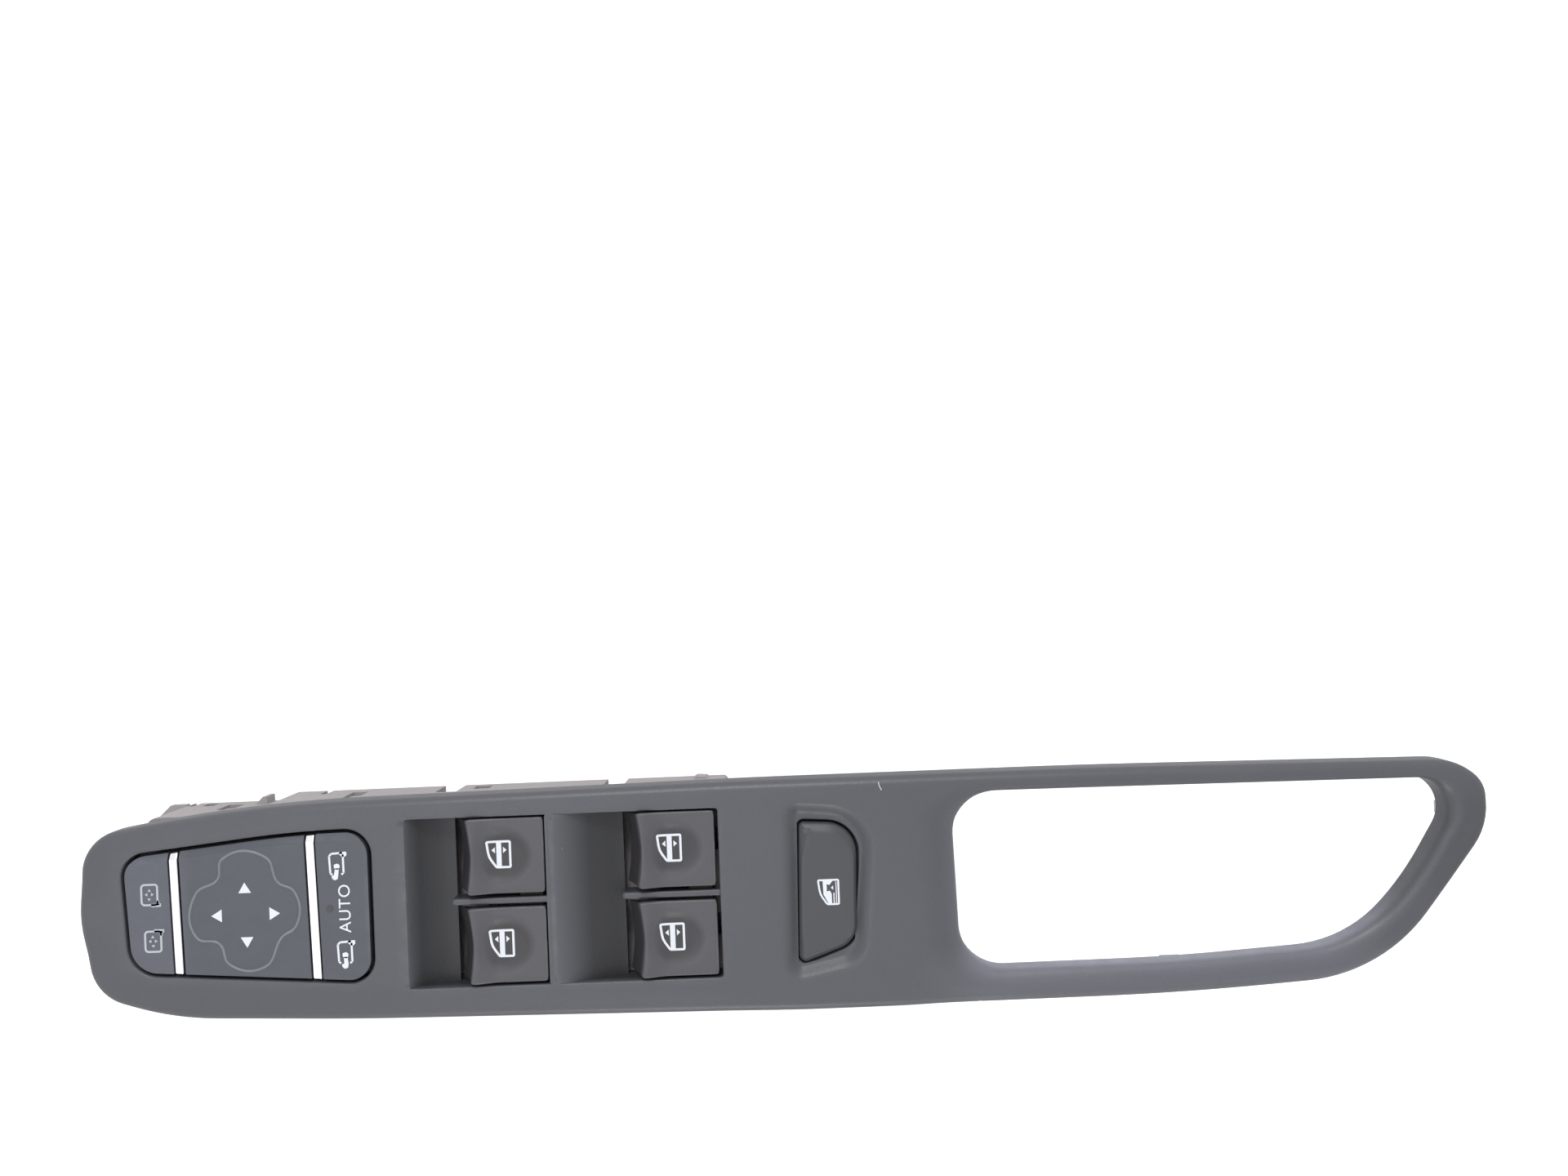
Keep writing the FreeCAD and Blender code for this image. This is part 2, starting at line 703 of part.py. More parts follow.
def make_housing():
    body = new_body("switch_housing")
    raise_outlines(body, "lower_walls", [HOUSING_OUTLINE], 0, d.shoulder_level)
    raise_outlines(body, "upper_walls", [chorded(SHOULDER_OUTLINE)], d.shoulder_level, d.panel_ceiling - 6.4)
    # the low foot at the far front corner, and the small hooks on the far wall
    foot = [(-190.0, 10.6), (-190.0, 21.2), (-184.9, 26.1), (-180.2, 26.1), (-180.2, 23.9), (-188.0, 10.6)]
    raise_outlines(body, "corner_foot", [foot], 0, 2.6)
    front_hook = [(-158.0, 25.6), (-155.6, 28.2), (-154.3, 28.2), (-154.3, 25.6)]
    rear_hook = [(-27.5, 28.0), (-25.5, 29.3), (-22.5, 29.1), (-21.5, 28.0)]
    raise_outlines(body, "hooks", [front_hook, rear_hook], 0, 6.0)
    # lugs for the two rear screws
    lugs = [box_corners(-17.0, -6.6, y - 4.0, y + 4.0) for y in (18.0, -15.0)]
    raise_outlines(body, "lugs", lugs, d.deck_top - d.deck_thick, d.deck_top)
    # the lower room, and the room over the deck
    lower_room = chorded(grown(HOUSING_OUTLINE, -DIMENSIONS["housing_wall"]))
    cut_outlines(body, "lower_room", [lower_room], -1, d.deck_top - d.deck_thick)
    upper_room = chorded(grown(SHOULDER_OUTLINE, -DIMENSIONS["housing_wall"]))
    cut_outlines(body, "upper_room", [upper_room], d.deck_top, d.panel_top)
    # ears that carry the rockers
    ears = []
    legs = []
    reach = d.core_width / 2 + 0.3
    borders = [
        (d.near_row_y - reach - d.ear_thick, d.near_row_y - reach),
        (d.near_row_y + reach, d.far_row_y - reach),
        (d.far_row_y + reach, d.far_row_y + reach + d.ear_thick),
    ]
    for pivot_x in (d.front_pivot_x, d.rear_pivot_x):
        ears += [box_corners(pivot_x - d.ear_reach, pivot_x + d.ear_reach, near, far) for near, far in borders]
    for pivot_x, row_y in PIVOTS.values():
        legs.append(box_corners(pivot_x - 5.0, pivot_x + 5.0, row_y - 3.2, row_y + 3.2))
    raise_outlines(body, "ears", ears, d.deck_top, d.pivot_level + d.ear_rise)
    cut_outlines(body, "leg_slots", legs, d.deck_top - d.deck_thick - 1, d.deck_top + 1)
    for index, pivot_x in enumerate((d.front_pivot_x, d.rear_pivot_x)):
        bore = d.trunnion_radius + d.fit_clearance
        rod(body, f"bores{index}", "side", (pivot_x, d.pivot_level), WELL_MIDDLE, bore, 60, "Pocket")
    # holes for the light guides, the mirror plungers and the screws
    holes = [square(x, y, d.lamp_hole_half) for x, y in LAMP_PLACES]
    holes += [square(x, y, d.plunger_radius + d.plunger_play) for x, y in PLUNGER_PLACES]
    holes += [square(x, y, d.screw_radius + 0.3) for x, y in SCREW_PLACES]
    cut_outlines(body, "deck_holes", holes, d.deck_top - d.deck_thick - 1, d.deck_top + 1)
    for index, (x, z, width, height) in enumerate(LATCH_WINDOWS + WALL_GAPS):
        profile = box_corners(x - width / 2, x + width / 2, z - height / 2, z + height / 2)
        wall_y = FRONT_WALL_Y if x < WALL_STEP_X else REAR_WALL_Y
        side_cut(body, f"window{index}", profile, wall_y, WALL_CUT)
    return body


SELECT_X = -175.5
FOLD_X = -122.0
PLUNGER_PLACES = [
    (d.pad_centre_x - 14.2, d.pad_centre_y),
    (d.pad_centre_x + 14.2, d.pad_centre_y),
    (d.pad_centre_x, d.pad_centre_y - 13.5),
    (d.pad_centre_x, d.pad_centre_y + 13.5),
    (size(SELECT_X), d.select_centre_y - 8.0),
    (size(SELECT_X), d.select_centre_y + 8.0),
    (size(FOLD_X), d.fold_centre_y - 12.5),
    (size(FOLD_X), d.fold_centre_y + 12.5),
]


LENS_PLACE = (-125.7, 1.1)
LENS_OUTLINE = octagon(*LENS_PLACE, 0.9)
LENS_DEPTH = 1.0
LAMP_PLACES = [(pivot_x - d.lamp_offset, row_y) for pivot_x, row_y in PIVOTS.values()]
LAMP_PLACES.append((size(LENS_PLACE[0]), size(LENS_PLACE[1])))


def make_base_cover():
    body = new_body("base_cover")
    plate = chorded(grown(HOUSING_OUTLINE, -(DIMENSIONS["housing_wall"] + 0.1)))
    raise_outlines(body, "plate", [plate], 0, d.cover_thick)
    posts = [square(x, y, 2.6) for x in (-169.0, -104.0, -26.0) for y in (-16.8, 19.0)]
    raise_outlines(body, "board_posts", posts, d.cover_thick - 0.1, d.board_level)
    # snap arms whose nubs catch in the housing's windows
    arms = [(-163.6, 26.1, 10.6), (-126.2, 28.4, 11.0)]
    for index, (x, face, z) in enumerate(arms):
        inner = face - DIMENSIONS["housing_wall"] - 0.1
        profile = [
            (inner - 1.4, d.cover_thick - 0.1),
            (inner, d.cover_thick - 0.1),
            (inner, z - 3.0),
            (inner + 1.3, z - 2.6),
            (inner + 1.3, z + 1.0),
            (inner, z + 3.2),
            (inner - 1.4, z + 3.2),
        ]
        sketch = sketch_outlines(body, f"arm{index}", "end", x, [profile])
        extrude(body, f"arm{index}", "Pad", sketch, 3.6, "Symmetric")
    cut_outlines(body, "connector_cut", [box_corners(-66.4, -29.6, -18.4, -3.6)], -1, d.cover_thick + 1)
    return body


def make_circuit_board():
    body = new_body("circuit_board")
    board = [(-183.0, -12.0), (-171.0, -19.4), (-19.5, -20.5), (-19.5, 22.4), (-179.2, 22.4), (-183.0, 16.0)]
    raise_outlines(body, "board", [board], d.board_level, d.board_level + d.board_thick)
    return body


def make_connector():
    body = new_body("door_connector")
    raise_outlines(body, "shroud", [box_corners(-66.0, -30.0, -18.0, -4.0)], 0.3, d.board_level)
    cut_outlines(body, "socket", [box_corners(-64.2, -31.8, -16.2, -5.8)], -1, d.board_level - 1.8)
    keys = [box_corners(x - 0.8, x + 0.8, -6.6, -5.0) for x in (-56.0, -40.0)]
    raise_outlines(body, "keys", keys, 0.8, d.board_level - 1.7)
    return body


def make_connector_pins():
    body = new_body("connector_pins")
    half = 0.32
    columns = [-60.0 + 3.0 * step for step in range(9)]
    pins = [box_corners(x - half, x + half, y - half, y + half) for x in columns for y in (-12.8, -9.4)]
    raise_outlines(body, "pins", pins, 2.6, d.board_level - 1.8)
    return body


def make_dome_mat(name, plate, places, lamps, level):
    """A silicone mat with a dome under each plunger and a hole over each light."""
    body = new_body(name)
    raise_outlines(body, "plate", [plate], level, level + d.mat_thick)
    raise_outlines(body, "domes", [octagon(x, y, 1.8) for x, y in places], level + 1.0, d.dome_top)
    cut_outlines(body, "light_holes", [square(x, y, d.lamp_hole_half) for x, y in lamps], level - 1, level + 3)
    return body


def make_dome_mats():
    mat_level = d.board_level + d.board_thick
    window_places = []
    for pivot_x, row_y in PIVOTS.values():
        window_places += [(pivot_x - d.leg_offset, row_y), (pivot_x + d.leg_offset, row_y)]
    window_plate = box_corners(-78.0, -18.6, -15.0, 18.0)
    window_mat = make_dome_mat("window_dome_mat", window_plate, window_places, LAMP_PLACES[2:4], mat_level)
    mirror_plate = box_corners(-180.0, -117.0, -17.0, 18.5)
    mirror_mat = make_dome_mat("mirror_dome_mat", mirror_plate, PLUNGER_PLACES, LAMP_PLACES[4:], mat_level)
    return [window_mat, mirror_mat]


def make_rocker(name, pivot_x, row_y):
    """A window rocker: raised lip in front, dished top, side trunnions and two legs."""
    body = new_body(name)
    pivot = d.pivot_level
    cap = [
        (pivot_x + d.rear_reach, pivot + 6.0, 0),
        (pivot_x - 8.5, pivot + 5.9, 30),
        (pivot_x - d.lip_reach, pivot + d.lip_rise, 1.0),
        (pivot_x - d.foot_reach, pivot - 1.0, 0),
        (pivot_x - d.foot_reach + 2.2, pivot - 1.0, 0),
        (pivot_x - d.lip_reach + 1.8, pivot + 3.2, 0),
        (pivot_x + d.rear_reach, pivot + 3.2, 0),
    ]
    side_pad(body, "cap", cap, row_y, d.cap_width)
    core = [
        (pivot_x - 9.0, pivot + 3.4, 0),
        (pivot_x + 3.8, pivot + 3.4, 0),
        (pivot_x + 3.8, pivot - 6.0, 0),
        (pivot_x - 9.0, pivot - 6.0, 0),
    ]
    side_pad(body, "core", core, row_y, d.core_width)
    hollow = [
        (pivot_x - 7.6, pivot + 2.0, 0),
        (pivot_x - 2.8, pivot + 2.0, 0),
        (pivot_x - 2.8, pivot - 4.6, 0),
        (pivot_x - 7.6, pivot - 4.6, 0),
    ]
    side_cut(body, "core_hollow", hollow, row_y, d.core_width - 3.0)
    legs = []
    for way in (-1, 1):
        middle = pivot_x + d.leg_offset * way
        legs.append(box_corners(middle - 1.0, middle + 1.0, row_y - 2.0, row_y + 2.0))
    raise_outlines(body, "legs", legs, d.tip_level, pivot - 5.9)
    length = d.core_width + 2 * (d.ear_thick + 0.1)
    rod(body, "trunnions", "side", (pivot_x, pivot), row_y, d.trunnion_radius, length)
    return body


def make_light_guide(name, pivot_x):
    """A clear guide on the deck that lights the two symbols of one pair of rockers."""
    body = new_body(name)
    middle = pivot_x - d.lamp_offset
    bar = box_corners(middle - 1.6, middle + 1.6, d.near_row_y - 3, d.far_row_y + 3)
    raise_outlines(body, "bar", [bar], d.deck_top, d.deck_top + 1.4)
    posts = [square(middle, row_y, 1.2) for row_y in (d.near_row_y, d.far_row_y)]
    raise_outlines(body, "posts", posts, d.board_level + d.board_thick + 1.5, d.pivot_level + 0.4)
    return body


# The mirror module: keys cut from one outline by straight gaps

STRIP_WIDTH = 2.4
STRIPS = {"front": (-168.6, -167.8), "rear": (-130.6, -129.8)}
STRIP_FAR_Y = 17.6
STRIP_NEAR_Y = -14.8


def strip_x(strip, y):
    """Middle of a chrome strip at a given y."""
    far_x, near_x = STRIPS[strip]
    return far_x + (near_x - far_x) * (STRIP_FAR_Y - y) / (STRIP_FAR_Y - STRIP_NEAR_Y)


def band(left, right, near=-30.0, far=30.0):
    """A slanting band between two border functions of y."""
    return [(left(near), near), (right(near), near), (right(far), far), (left(far), far)]


KEY_BANDS = {
    "mirror_select_key": (lambda y: -200.0, lambda y: strip_x("front", y) - STRIP_WIDTH / 2 - 0.5),
    "mirror_pad": (
        lambda y: strip_x("front", y) + STRIP_WIDTH / 2 + 0.7,
        lambda y: strip_x("rear", y) - STRIP_WIDTH / 2 - 0.7,
    ),
    "mirror_fold_key": (lambda y: strip_x("rear", y) + STRIP_WIDTH / 2 + 0.5, lambda y: -100.0),
}


def outside_band(left, right):
    """Two blocks that leave only a band of the outline standing."""
    cuts = []
    if left(0) > -190:
        cuts.append(band(lambda y: -215.0, left))
    if right(0) < -105:
        cuts.append(band(right, lambda y: -95.0))
    return cuts


def make_key_top(name):
    """The top plate of a mirror key with a bevelled far edge."""
    body = new_body(name)
    raise_outlines(body, "plate", [MODULE_OUTLINE], d.key_underside, d.panel_top)

    def far_edge(edge):
        return lies_at(d.panel_top)(edge) and edge.BoundBox.YMax > 15 and edge.BoundBox.YMin > 8

    dress(body, "far_bevel", "Chamfer", far_edge, 1.3)
    cuts = outside_band(*KEY_BANDS[name])
    cut_outlines(body, "trim", cuts, d.key_underside - 1, d.panel_top + 1)
    return body


def make_rocking_key(name, middle_x, centre_y):
    """A key that rocks about a pin along X between two cheeks, with two plungers."""
    body = make_key_top(name)
    cheeks = []
    for way in (-1, 1):
        inner, outer = sorted((middle_x + 1.5 * way, middle_x + 3.1 * way))
        cheeks.append(box_corners(inner, outer, centre_y - 2.2, centre_y + 2.2))
    raise_outlines(body, "cheeks", cheeks, d.pivot_level - 2.0, d.key_underside + 0.1)
    rod(body, "pin", "end", (centre_y, d.pivot_level), middle_x, d.key_pin_radius, 3.6)
    plungers = [square(x, y, d.plunger_radius) for x, y in PLUNGER_PLACES if abs(x.value - middle_x) < 1]
    raise_outlines(body, "plungers", plungers, d.tip_level, d.key_underside + 0.1)
    if middle_x == FOLD_X:
        cut_outlines(body, "lens_seat", [LENS_OUTLINE], d.panel_top - LENS_DEPTH, d.panel_top + 1)
    return body


def make_mirror_pad():
    body = make_key_top("mirror_pad")
    x, y = d.pad_centre_x, d.pad_centre_y
    ears = [box_corners(x - 2.6, x + 2.6, y + near, y + near + 2.0) for near in (-5.2, 3.2)]
    raise_outlines(body, "ears", ears, d.pivot_level - 1.8, d.key_underside + 0.1)
    rod(body, "pins", "side", (x, d.pivot_level), y, d.gimbal_pin_radius, 15.6)
    cut_outlines(body, "pin_gap", [box_corners(x - 2.0, x + 2.0, y - 3.2, y + 3.2)], 28.0, 32.0)
    plungers = [square(px, py, d.plunger_radius) for px, py in PLUNGER_PLACES[:4]]
    raise_outlines(body, "plungers", plungers, d.tip_level, d.key_underside + 0.1)
    return body


def make_pad_gimbal():
    body = new_body("pad_gimbal")
    x, y = d.pad_centre_x, d.pad_centre_y
    outer = box_corners(x - 9.0, x + 9.0, y - 8.0, y + 8.0)
    inner = box_corners(x - 6.4, x + 6.4, y - 5.5, y + 5.5)
    raise_outlines(body, "ring", [outer, inner], d.pivot_level - 1.9, d.pivot_level + 1.9)
    bore = d.gimbal_pin_radius + d.fit_clearance
    rod(body, "pin_bores", "side", (x, d.pivot_level), y, bore, 20, "Pocket")
    for index, way in enumerate((-1, 1)):
        rod(body, f"pin{index}", "end", (y, d.pivot_level), x + 10.3 * way, d.gimbal_pin_radius, 3.0)
    return body


def make_mirror_frame():
    """Carrier of the mirror keys: floor, rim, bearing posts and walls under the chrome strips."""
    body = new_body("mirror_frame")
    floor = chorded(grown(MODULE_OUTLINE, -0.6))
    inner = chorded(grown(MODULE_OUTLINE, -2.0))
    raise_outlines(body, "rim", [floor, inner], d.deck_top, d.pivot_level + 0.2)
    raise_outlines(body, "floor", [floor], d.deck_top, d.deck_top + 1.6)
    walls = []
    for strip in STRIPS:
        left, right = strip_borders(strip, STRIP_WIDTH / 2)
        walls.append(band(left, right, STRIP_NEAR_Y, STRIP_FAR_Y))
    raise_outlines(body, "strip_walls", walls, d.deck_top, d.pivot_level + 3.4)
    posts = []
    for middle_x, centre_y in ((SELECT_X, d.select_centre_y), (FOLD_X, d.fold_centre_y)):
        posts.append(box_corners(middle_x - 1.2, middle_x + 1.2, centre_y - 2.6, centre_y + 2.6))
    x, y = d.pad_centre_x, d.pad_centre_y
    for way in (-1, 1):
        inner_x = x + 9.4 * way
        outer_x = x + 11.4 * way
        left_x, right_x = (inner_x, outer_x) if way > 0 else (outer_x, inner_x)
        posts.append(box_corners(left_x, right_x, y - 2.6, y + 2.6))
    raise_outlines(body, "bearing_posts", posts, d.deck_top, d.pivot_level + 1.7)
    bore = d.key_pin_radius + d.fit_clearance
    rod(body, "select_bore", "end", (d.select_centre_y, d.pivot_level), SELECT_X, bore, 3.0, "Pocket")
    rod(body, "fold_bore", "end", (d.fold_centre_y, d.pivot_level), FOLD_X, bore, 3.0, "Pocket")
    bore = d.gimbal_pin_radius + d.fit_clearance
    rod(body, "gimbal_bores", "end", (y, d.pivot_level), x, bore, 24.0, "Pocket")
    holes = [square(px, py, d.plunger_radius + d.plunger_play) for px, py in PLUNGER_PLACES]
    cut_outlines(body, "plunger_holes", holes, d.deck_top - 1, d.deck_top + 3)
    return body


def strip_borders(strip, half):
    """The two long sides of a chrome strip as functions of y."""
    return (lambda y: strip_x(strip, y) - half, lambda y: strip_x(strip, y) + half)


def make_chrome_strip(strip):
    """A chrome strip with a bright cap over the module's far bevel."""
    body = new_body(f"chrome_strip_{strip}")
    raise_outlines(body, "blank", [MODULE_OUTLINE], d.pivot_level + 3.4, d.panel_top + 0.2)

    def far_edge(edge):
        return lies_at(d.panel_top + 0.2)(edge) and edge.BoundBox.YMax > 15 and edge.BoundBox.YMin > 8

    dress(body, "far_bevel", "Chamfer", far_edge, 1.3)
    left, right = strip_borders(strip, STRIP_WIDTH / 2)
    cuts = [band(lambda y: -215.0, left), band(right, lambda y: -95.0)]
    cut_outlines(body, "trim", cuts, d.pivot_level + 2, d.panel_top + 2)
    return body


def make_indicator_lens():
    body = new_body("fold_indicator_lens")
    raise_outlines(body, "lens", [LENS_OUTLINE], d.panel_top - LENS_DEPTH, d.panel_top + 0.1)
    return body


def make_lock_button():
    """The lock button: a bevelled cap on a stem that is guided by the lock switch."""
    body = new_body("lock_button")
    raise_outlines(body, "cap", [LOCK_OUTLINE], d.lock_floor - 5.6, d.lock_top)
    dress(body, "bevel", "Chamfer", lies_at(d.lock_top), 1.0)
    raise_outlines(body, "stem", [box_corners(7.0, 17.0, -8.0, 10.0)], 20.4, d.lock_floor - 5.5)
    return body


def make_lock_switch():
    """The small switch box under the lock button, open above for the stem."""
    body = new_body("lock_switch_housing")
    raise_outlines(body, "box", [box_corners(1.6, 22.4, -14.0, 16.0)], 15.0, 26.0)
    cut_outlines(body, "guide", [box_corners(6.6, 17.4, -8.4, 10.4)], 17.0, 27.0)
    lugs = [box_corners(7.0, 17.0, -23.0, -13.0), box_corners(7.0, 17.0, 15.0, 24.4)]
    raise_outlines(body, "lugs", lugs, 24.0, 26.0)
    posts = [square(12.0, -21.0, 1.6), square(12.0, 22.4, 1.6)]
    raise_outlines(body, "posts", posts, 25.9, d.lock_floor - 2.2)
    return body


def make_lock_mat():
    body = new_body("lock_dome_mat")
    raise_outlines(body, "plate", [box_corners(7.0, 17.0, -8.0, 10.0)], 17.0, 18.0)
    places = [(12.0, -3.0), (12.0, 5.0)]
    raise_outlines(body, "domes", [octagon(x, y, 2.2) for x, y in places], 17.9, 18.8)
    return body


def make_board_leds():
    body = new_body("board_leds")
    top = d.board_level + d.board_thick
    leds = [box_corners(x - 1.0, x + 1.0, y - 0.8, y + 0.8) for x, y in LAMP_PLACES]
    raise_outlines(body, "leds", leds, top, top + 1.2)
    return body


def make_screws():
    """Screws that hold the housing's deck to the bezel's bosses."""
    body = new_body("module_screws")
    under = d.deck_top - d.deck_thick
    heads = [octagon(x, y, 2.8) for x, y in SCREW_PLACES]
    raise_outlines(body, "heads", heads, under - 1.8, under)
    shanks = [octagon(x, y, d.screw_radius) for x, y in SCREW_PLACES]
    raise_outlines(body, "shanks", shanks, under - 0.1, d.pivot_level)
    return body


def check_and_export(bodies):
    """Stop on any failed feature or broken solid, then write every sub-part."""
    document.recompute()
    for item in document.Objects:
        if "Invalid" in item.State or "Error" in item.State:
            raise RuntimeError(f"{item.Label} is {item.State}")
    for body in bodies:
        if body.Shape.isNull() or not body.Shape.isValid() or not body.Shape.Solids:
            raise RuntimeError(f"{body.Label} has no valid solid")
    for body in bodies:
        body.Shape.exportStep(f"parts/{body.Label}.step")
        print(body.Label, len(body.Shape.Solids), round(body.Shape.Volume, 1))


def main():
    bodies = [
        make_bezel(),
        make_spring_clips(),
        make_housing(),
        make_base_cover(),
        make_circuit_board(),
        make_connector(),
        make_connector_pins(),
        make_mirror_frame(),
        make_pad_gimbal(),
        make_mirror_pad(),
        make_rocking_key("mirror_select_key", SELECT_X, d.select_centre_y),
        make_rocking_key("mirror_fold_key", FOLD_X, d.fold_centre_y),
        make_indicator_lens(),
        make_lock_button(),
        make_lock_switch(),
        make_lock_mat(),
        make_board_leds(),
        make_screws(),
    ]
    bodies += make_dome_mats()
    bodies += [make_chrome_strip(strip) for strip in STRIPS]
    bodies += [make_rocker(name, *place) for name, place in PIVOTS.items()]
    bodies.append(make_light_guide("window_light_guide_front", d.front_pivot_x))
    bodies.append(make_light_guide("window_light_guide_rear", d.rear_pivot_x))
    check_and_export(bodies)


main()
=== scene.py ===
import math

import bmesh
import bpy
import numpy as np
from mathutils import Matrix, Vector, geometry


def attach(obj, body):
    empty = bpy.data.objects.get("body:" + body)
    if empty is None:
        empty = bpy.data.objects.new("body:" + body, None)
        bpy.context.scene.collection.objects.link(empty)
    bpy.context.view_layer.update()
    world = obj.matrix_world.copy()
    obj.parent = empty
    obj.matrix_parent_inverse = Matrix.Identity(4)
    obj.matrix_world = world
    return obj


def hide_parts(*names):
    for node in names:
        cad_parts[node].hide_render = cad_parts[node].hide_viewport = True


# Looks of a driver's door switch panel. Lengths are in millimetres until a mesh is made.
# +X runs along the panel to the handle loop, +Y to the far long side, +Z up.

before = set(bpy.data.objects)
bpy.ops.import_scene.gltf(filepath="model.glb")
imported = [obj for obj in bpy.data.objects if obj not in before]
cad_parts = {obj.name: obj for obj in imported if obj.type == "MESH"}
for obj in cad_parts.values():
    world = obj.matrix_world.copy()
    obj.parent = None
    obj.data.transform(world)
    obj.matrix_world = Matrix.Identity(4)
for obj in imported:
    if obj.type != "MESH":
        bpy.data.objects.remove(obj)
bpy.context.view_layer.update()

MM = 0.001
# Levels: the panel's flat top, the lower edge of its skirt, the pivots, and the tips that press the mats
PANEL_TOP = 36.0
SKIRT_BOTTOM = 27.0
PIVOT_LEVEL = 30.0
TIP_LEVEL = 15.3
# The panel's wall, and the rounds of its outer edge and of the handle's opening
PANEL_WALL = 2.0
OUTER_ROUND = 2.6
OPENING_ROUND = 3.4
# The rockers' rows and pivots
ROWS = {"right": 13.8, "left": -10.8}
PIVOT_X = {"front": -70.6, "rear": -23.4}
# The wells: long sides, left ends, the scoop's foot and the right end from the pivot, rim and depth
WELL_NEAR = -22.0
WELL_FAR = 24.7
WELL_LEFT = {"front": -104.6, "rear": -63.7}
FOOT_REACH = 21.5
REAR_REACH = 5.5
WELL_RIM = 0.55
SCOOP_DEPTH = 7.0
# The scoop's floor starts this far outside its rim, so that it stays a shell of its own
SEAM = 0.005
# The gap round the mirror keys and the rim of their hole
MODULE_GAP = 0.8
MODULE_RIM = 0.7
# The floor of the lock button's recess and the button's top
LOCK_FLOOR = 33.6
LOCK_TOP = 35.5
# Material slots that several pieces share
PANEL_PLASTIC = "panel_plastic"
ROCKER_PLASTIC = "rocker_plastic"
KEY_PLASTIC = "key_plastic"

# Outlines from above: x, y and radius of each corner
BEZEL_OUTLINE = [
    (-195.0, 22.8, 12),
    (-150.0, 29.9, 450),
    (-10.0, 31.65, 2000),
    (85.0, 31.7, 2500),
    (187.4, 30.2, 17),
    (195.7, 23.5, 10),
    (196.5, 11.3, 19),
    (165.3, -28.8, 46.5),
    (110.0, -32.05, 900),
    (-4.0, -32.5, 3000),
    (-120.0, -30.6, 900),
    (-171.0, -28.6, 86),
    (-193.0, -21.5, 13),
    (-195.8, 1.0, 90),
]
OPENING_OUTLINE = [
    (47.2, 26.5, 12),
    (191.9, 25.5, 9.2),
    (174.6, -3.2, 80),
    (157.8, -20.7, 37),
    (108.4, -23.5, 600),
    (48.5, -23.7, 12.7),
]
MODULE_OUTLINE = [
    (-182.6, 17.0, 6),
    (-134.8, 21.9, 286),
    (-114.7, 22.1, 6.6),
    (-114.7, -19.4, 6),
    (-180.9, -14.7, 8),
]
LOCK_OUTLINE = [
    (4.4, 19.8, 1.5),
    (20.4, 18.8, 8.4),
    (19.5, -14.0, 7),
    (3.2, -19.9, 2),
]
RECESS_OUTLINE = [
    (0.7, 25.5, 4),
    (25.8, 23.2, 13),
    (21.8, -19.5, 8.5),
    (-0.5, -24.2, 4.5),
]


# Outlines and meshes


def smoothstep(low, high, value):
    """0 below low, 1 above high, and a soft rise between."""
    share = np.clip((np.asarray(value, float) - low) / (high - low), 0, 1)
    return share * share * (3 - 2 * share)


def softened(value, width):
    """The positive part of a value, with its kink rounded over a width."""
    return (value + np.sqrt(value * value + width * width)) / 2


def sample_outline(corners, side_step=3.0, arc_step=8.0):
    """Points and outward normals of an outline of straight sides and rounded corners, anticlockwise."""
    spots = [np.array(corner[:2], float) for corner in corners]
    area = sum(np.cross(spots[index - 1], spot) for index, spot in enumerate(spots))
    if area < 0:
        corners = corners[::-1]
        spots = spots[::-1]
    count = len(spots)
    arcs = []
    for index, spot in enumerate(spots):
        back = spots[index - 1] - spot
        ahead = spots[(index + 1) % count] - spot
        back /= np.linalg.norm(back)
        ahead /= np.linalg.norm(ahead)
        half = math.acos(np.clip(back @ ahead, -1, 1)) / 2
        radius = corners[index][2]
        middle = (back + ahead) / np.linalg.norm(back + ahead)
        convex = np.cross(-back, ahead) > 0
        centre = spot + middle * radius / math.sin(half)
        start = spot + back * radius / math.tan(half)
        end = spot + ahead * radius / math.tan(half)
        arcs.append((centre, start, end, radius, math.pi - 2 * half, convex))
    points = []
    normals = []
    for index, (centre, start, end, radius, turn, convex) in enumerate(arcs):
        steps = max(2, math.ceil(math.degrees(turn) / arc_step), math.ceil(radius * turn / side_step))
        first = math.atan2(start[1] - centre[1], start[0] - centre[0])
        sign = 1 if convex else -1
        for step in range(steps + 1):
            angle = first + sign * turn * step / steps
            way = np.array([math.cos(angle), math.sin(angle)])
            points.append(centre + way * radius)
            normals.append(way * sign)
        following = arcs[(index + 1) % count][1]
        length = np.linalg.norm(following - end)
        pieces = max(1, round(length / side_step))
        along = (following - end) / length
        side_normal = np.array([along[1], -along[0]])
        for piece in range(1, pieces):
            points.append(end + (following - end) * piece / pieces)
            normals.append(side_normal)
    return np.array(points), np.array(normals)


def distance_to(outline, x, y):
    """Distance of each place to a closed polyline, positive inside it."""
    places = np.stack([np.asarray(x, float).ravel(), np.asarray(y, float).ravel()], axis=1)
    nearest = np.full(len(places), 1e9)
    inside = np.zeros(len(places), bool)
    for start, end in zip(outline, np.roll(outline, -1, axis=0)):
        side = end - start
        share = np.clip(((places - start) @ side) / (side @ side), 0, 1)
        gap = places - start - share[:, None] * side
        nearest = np.minimum(nearest, np.hypot(gap[:, 0], gap[:, 1]))
        crosses = (start[1] > places[:, 1]) != (end[1] > places[:, 1])
        if side[1] != 0:
            meets = start[0] + side[0] * (places[:, 1] - start[1]) / side[1]
            inside ^= crosses & (places[:, 0] < meets)
    return np.where(inside, nearest, -nearest).reshape(np.shape(x))


def round_bar(across, up, radius, steps=28):
    """Outline of a round bar's section."""
    angles = [2 * math.pi * step / steps for step in range(steps)]
    return [(across + radius * math.cos(angle), up + radius * math.sin(angle)) for angle in angles]


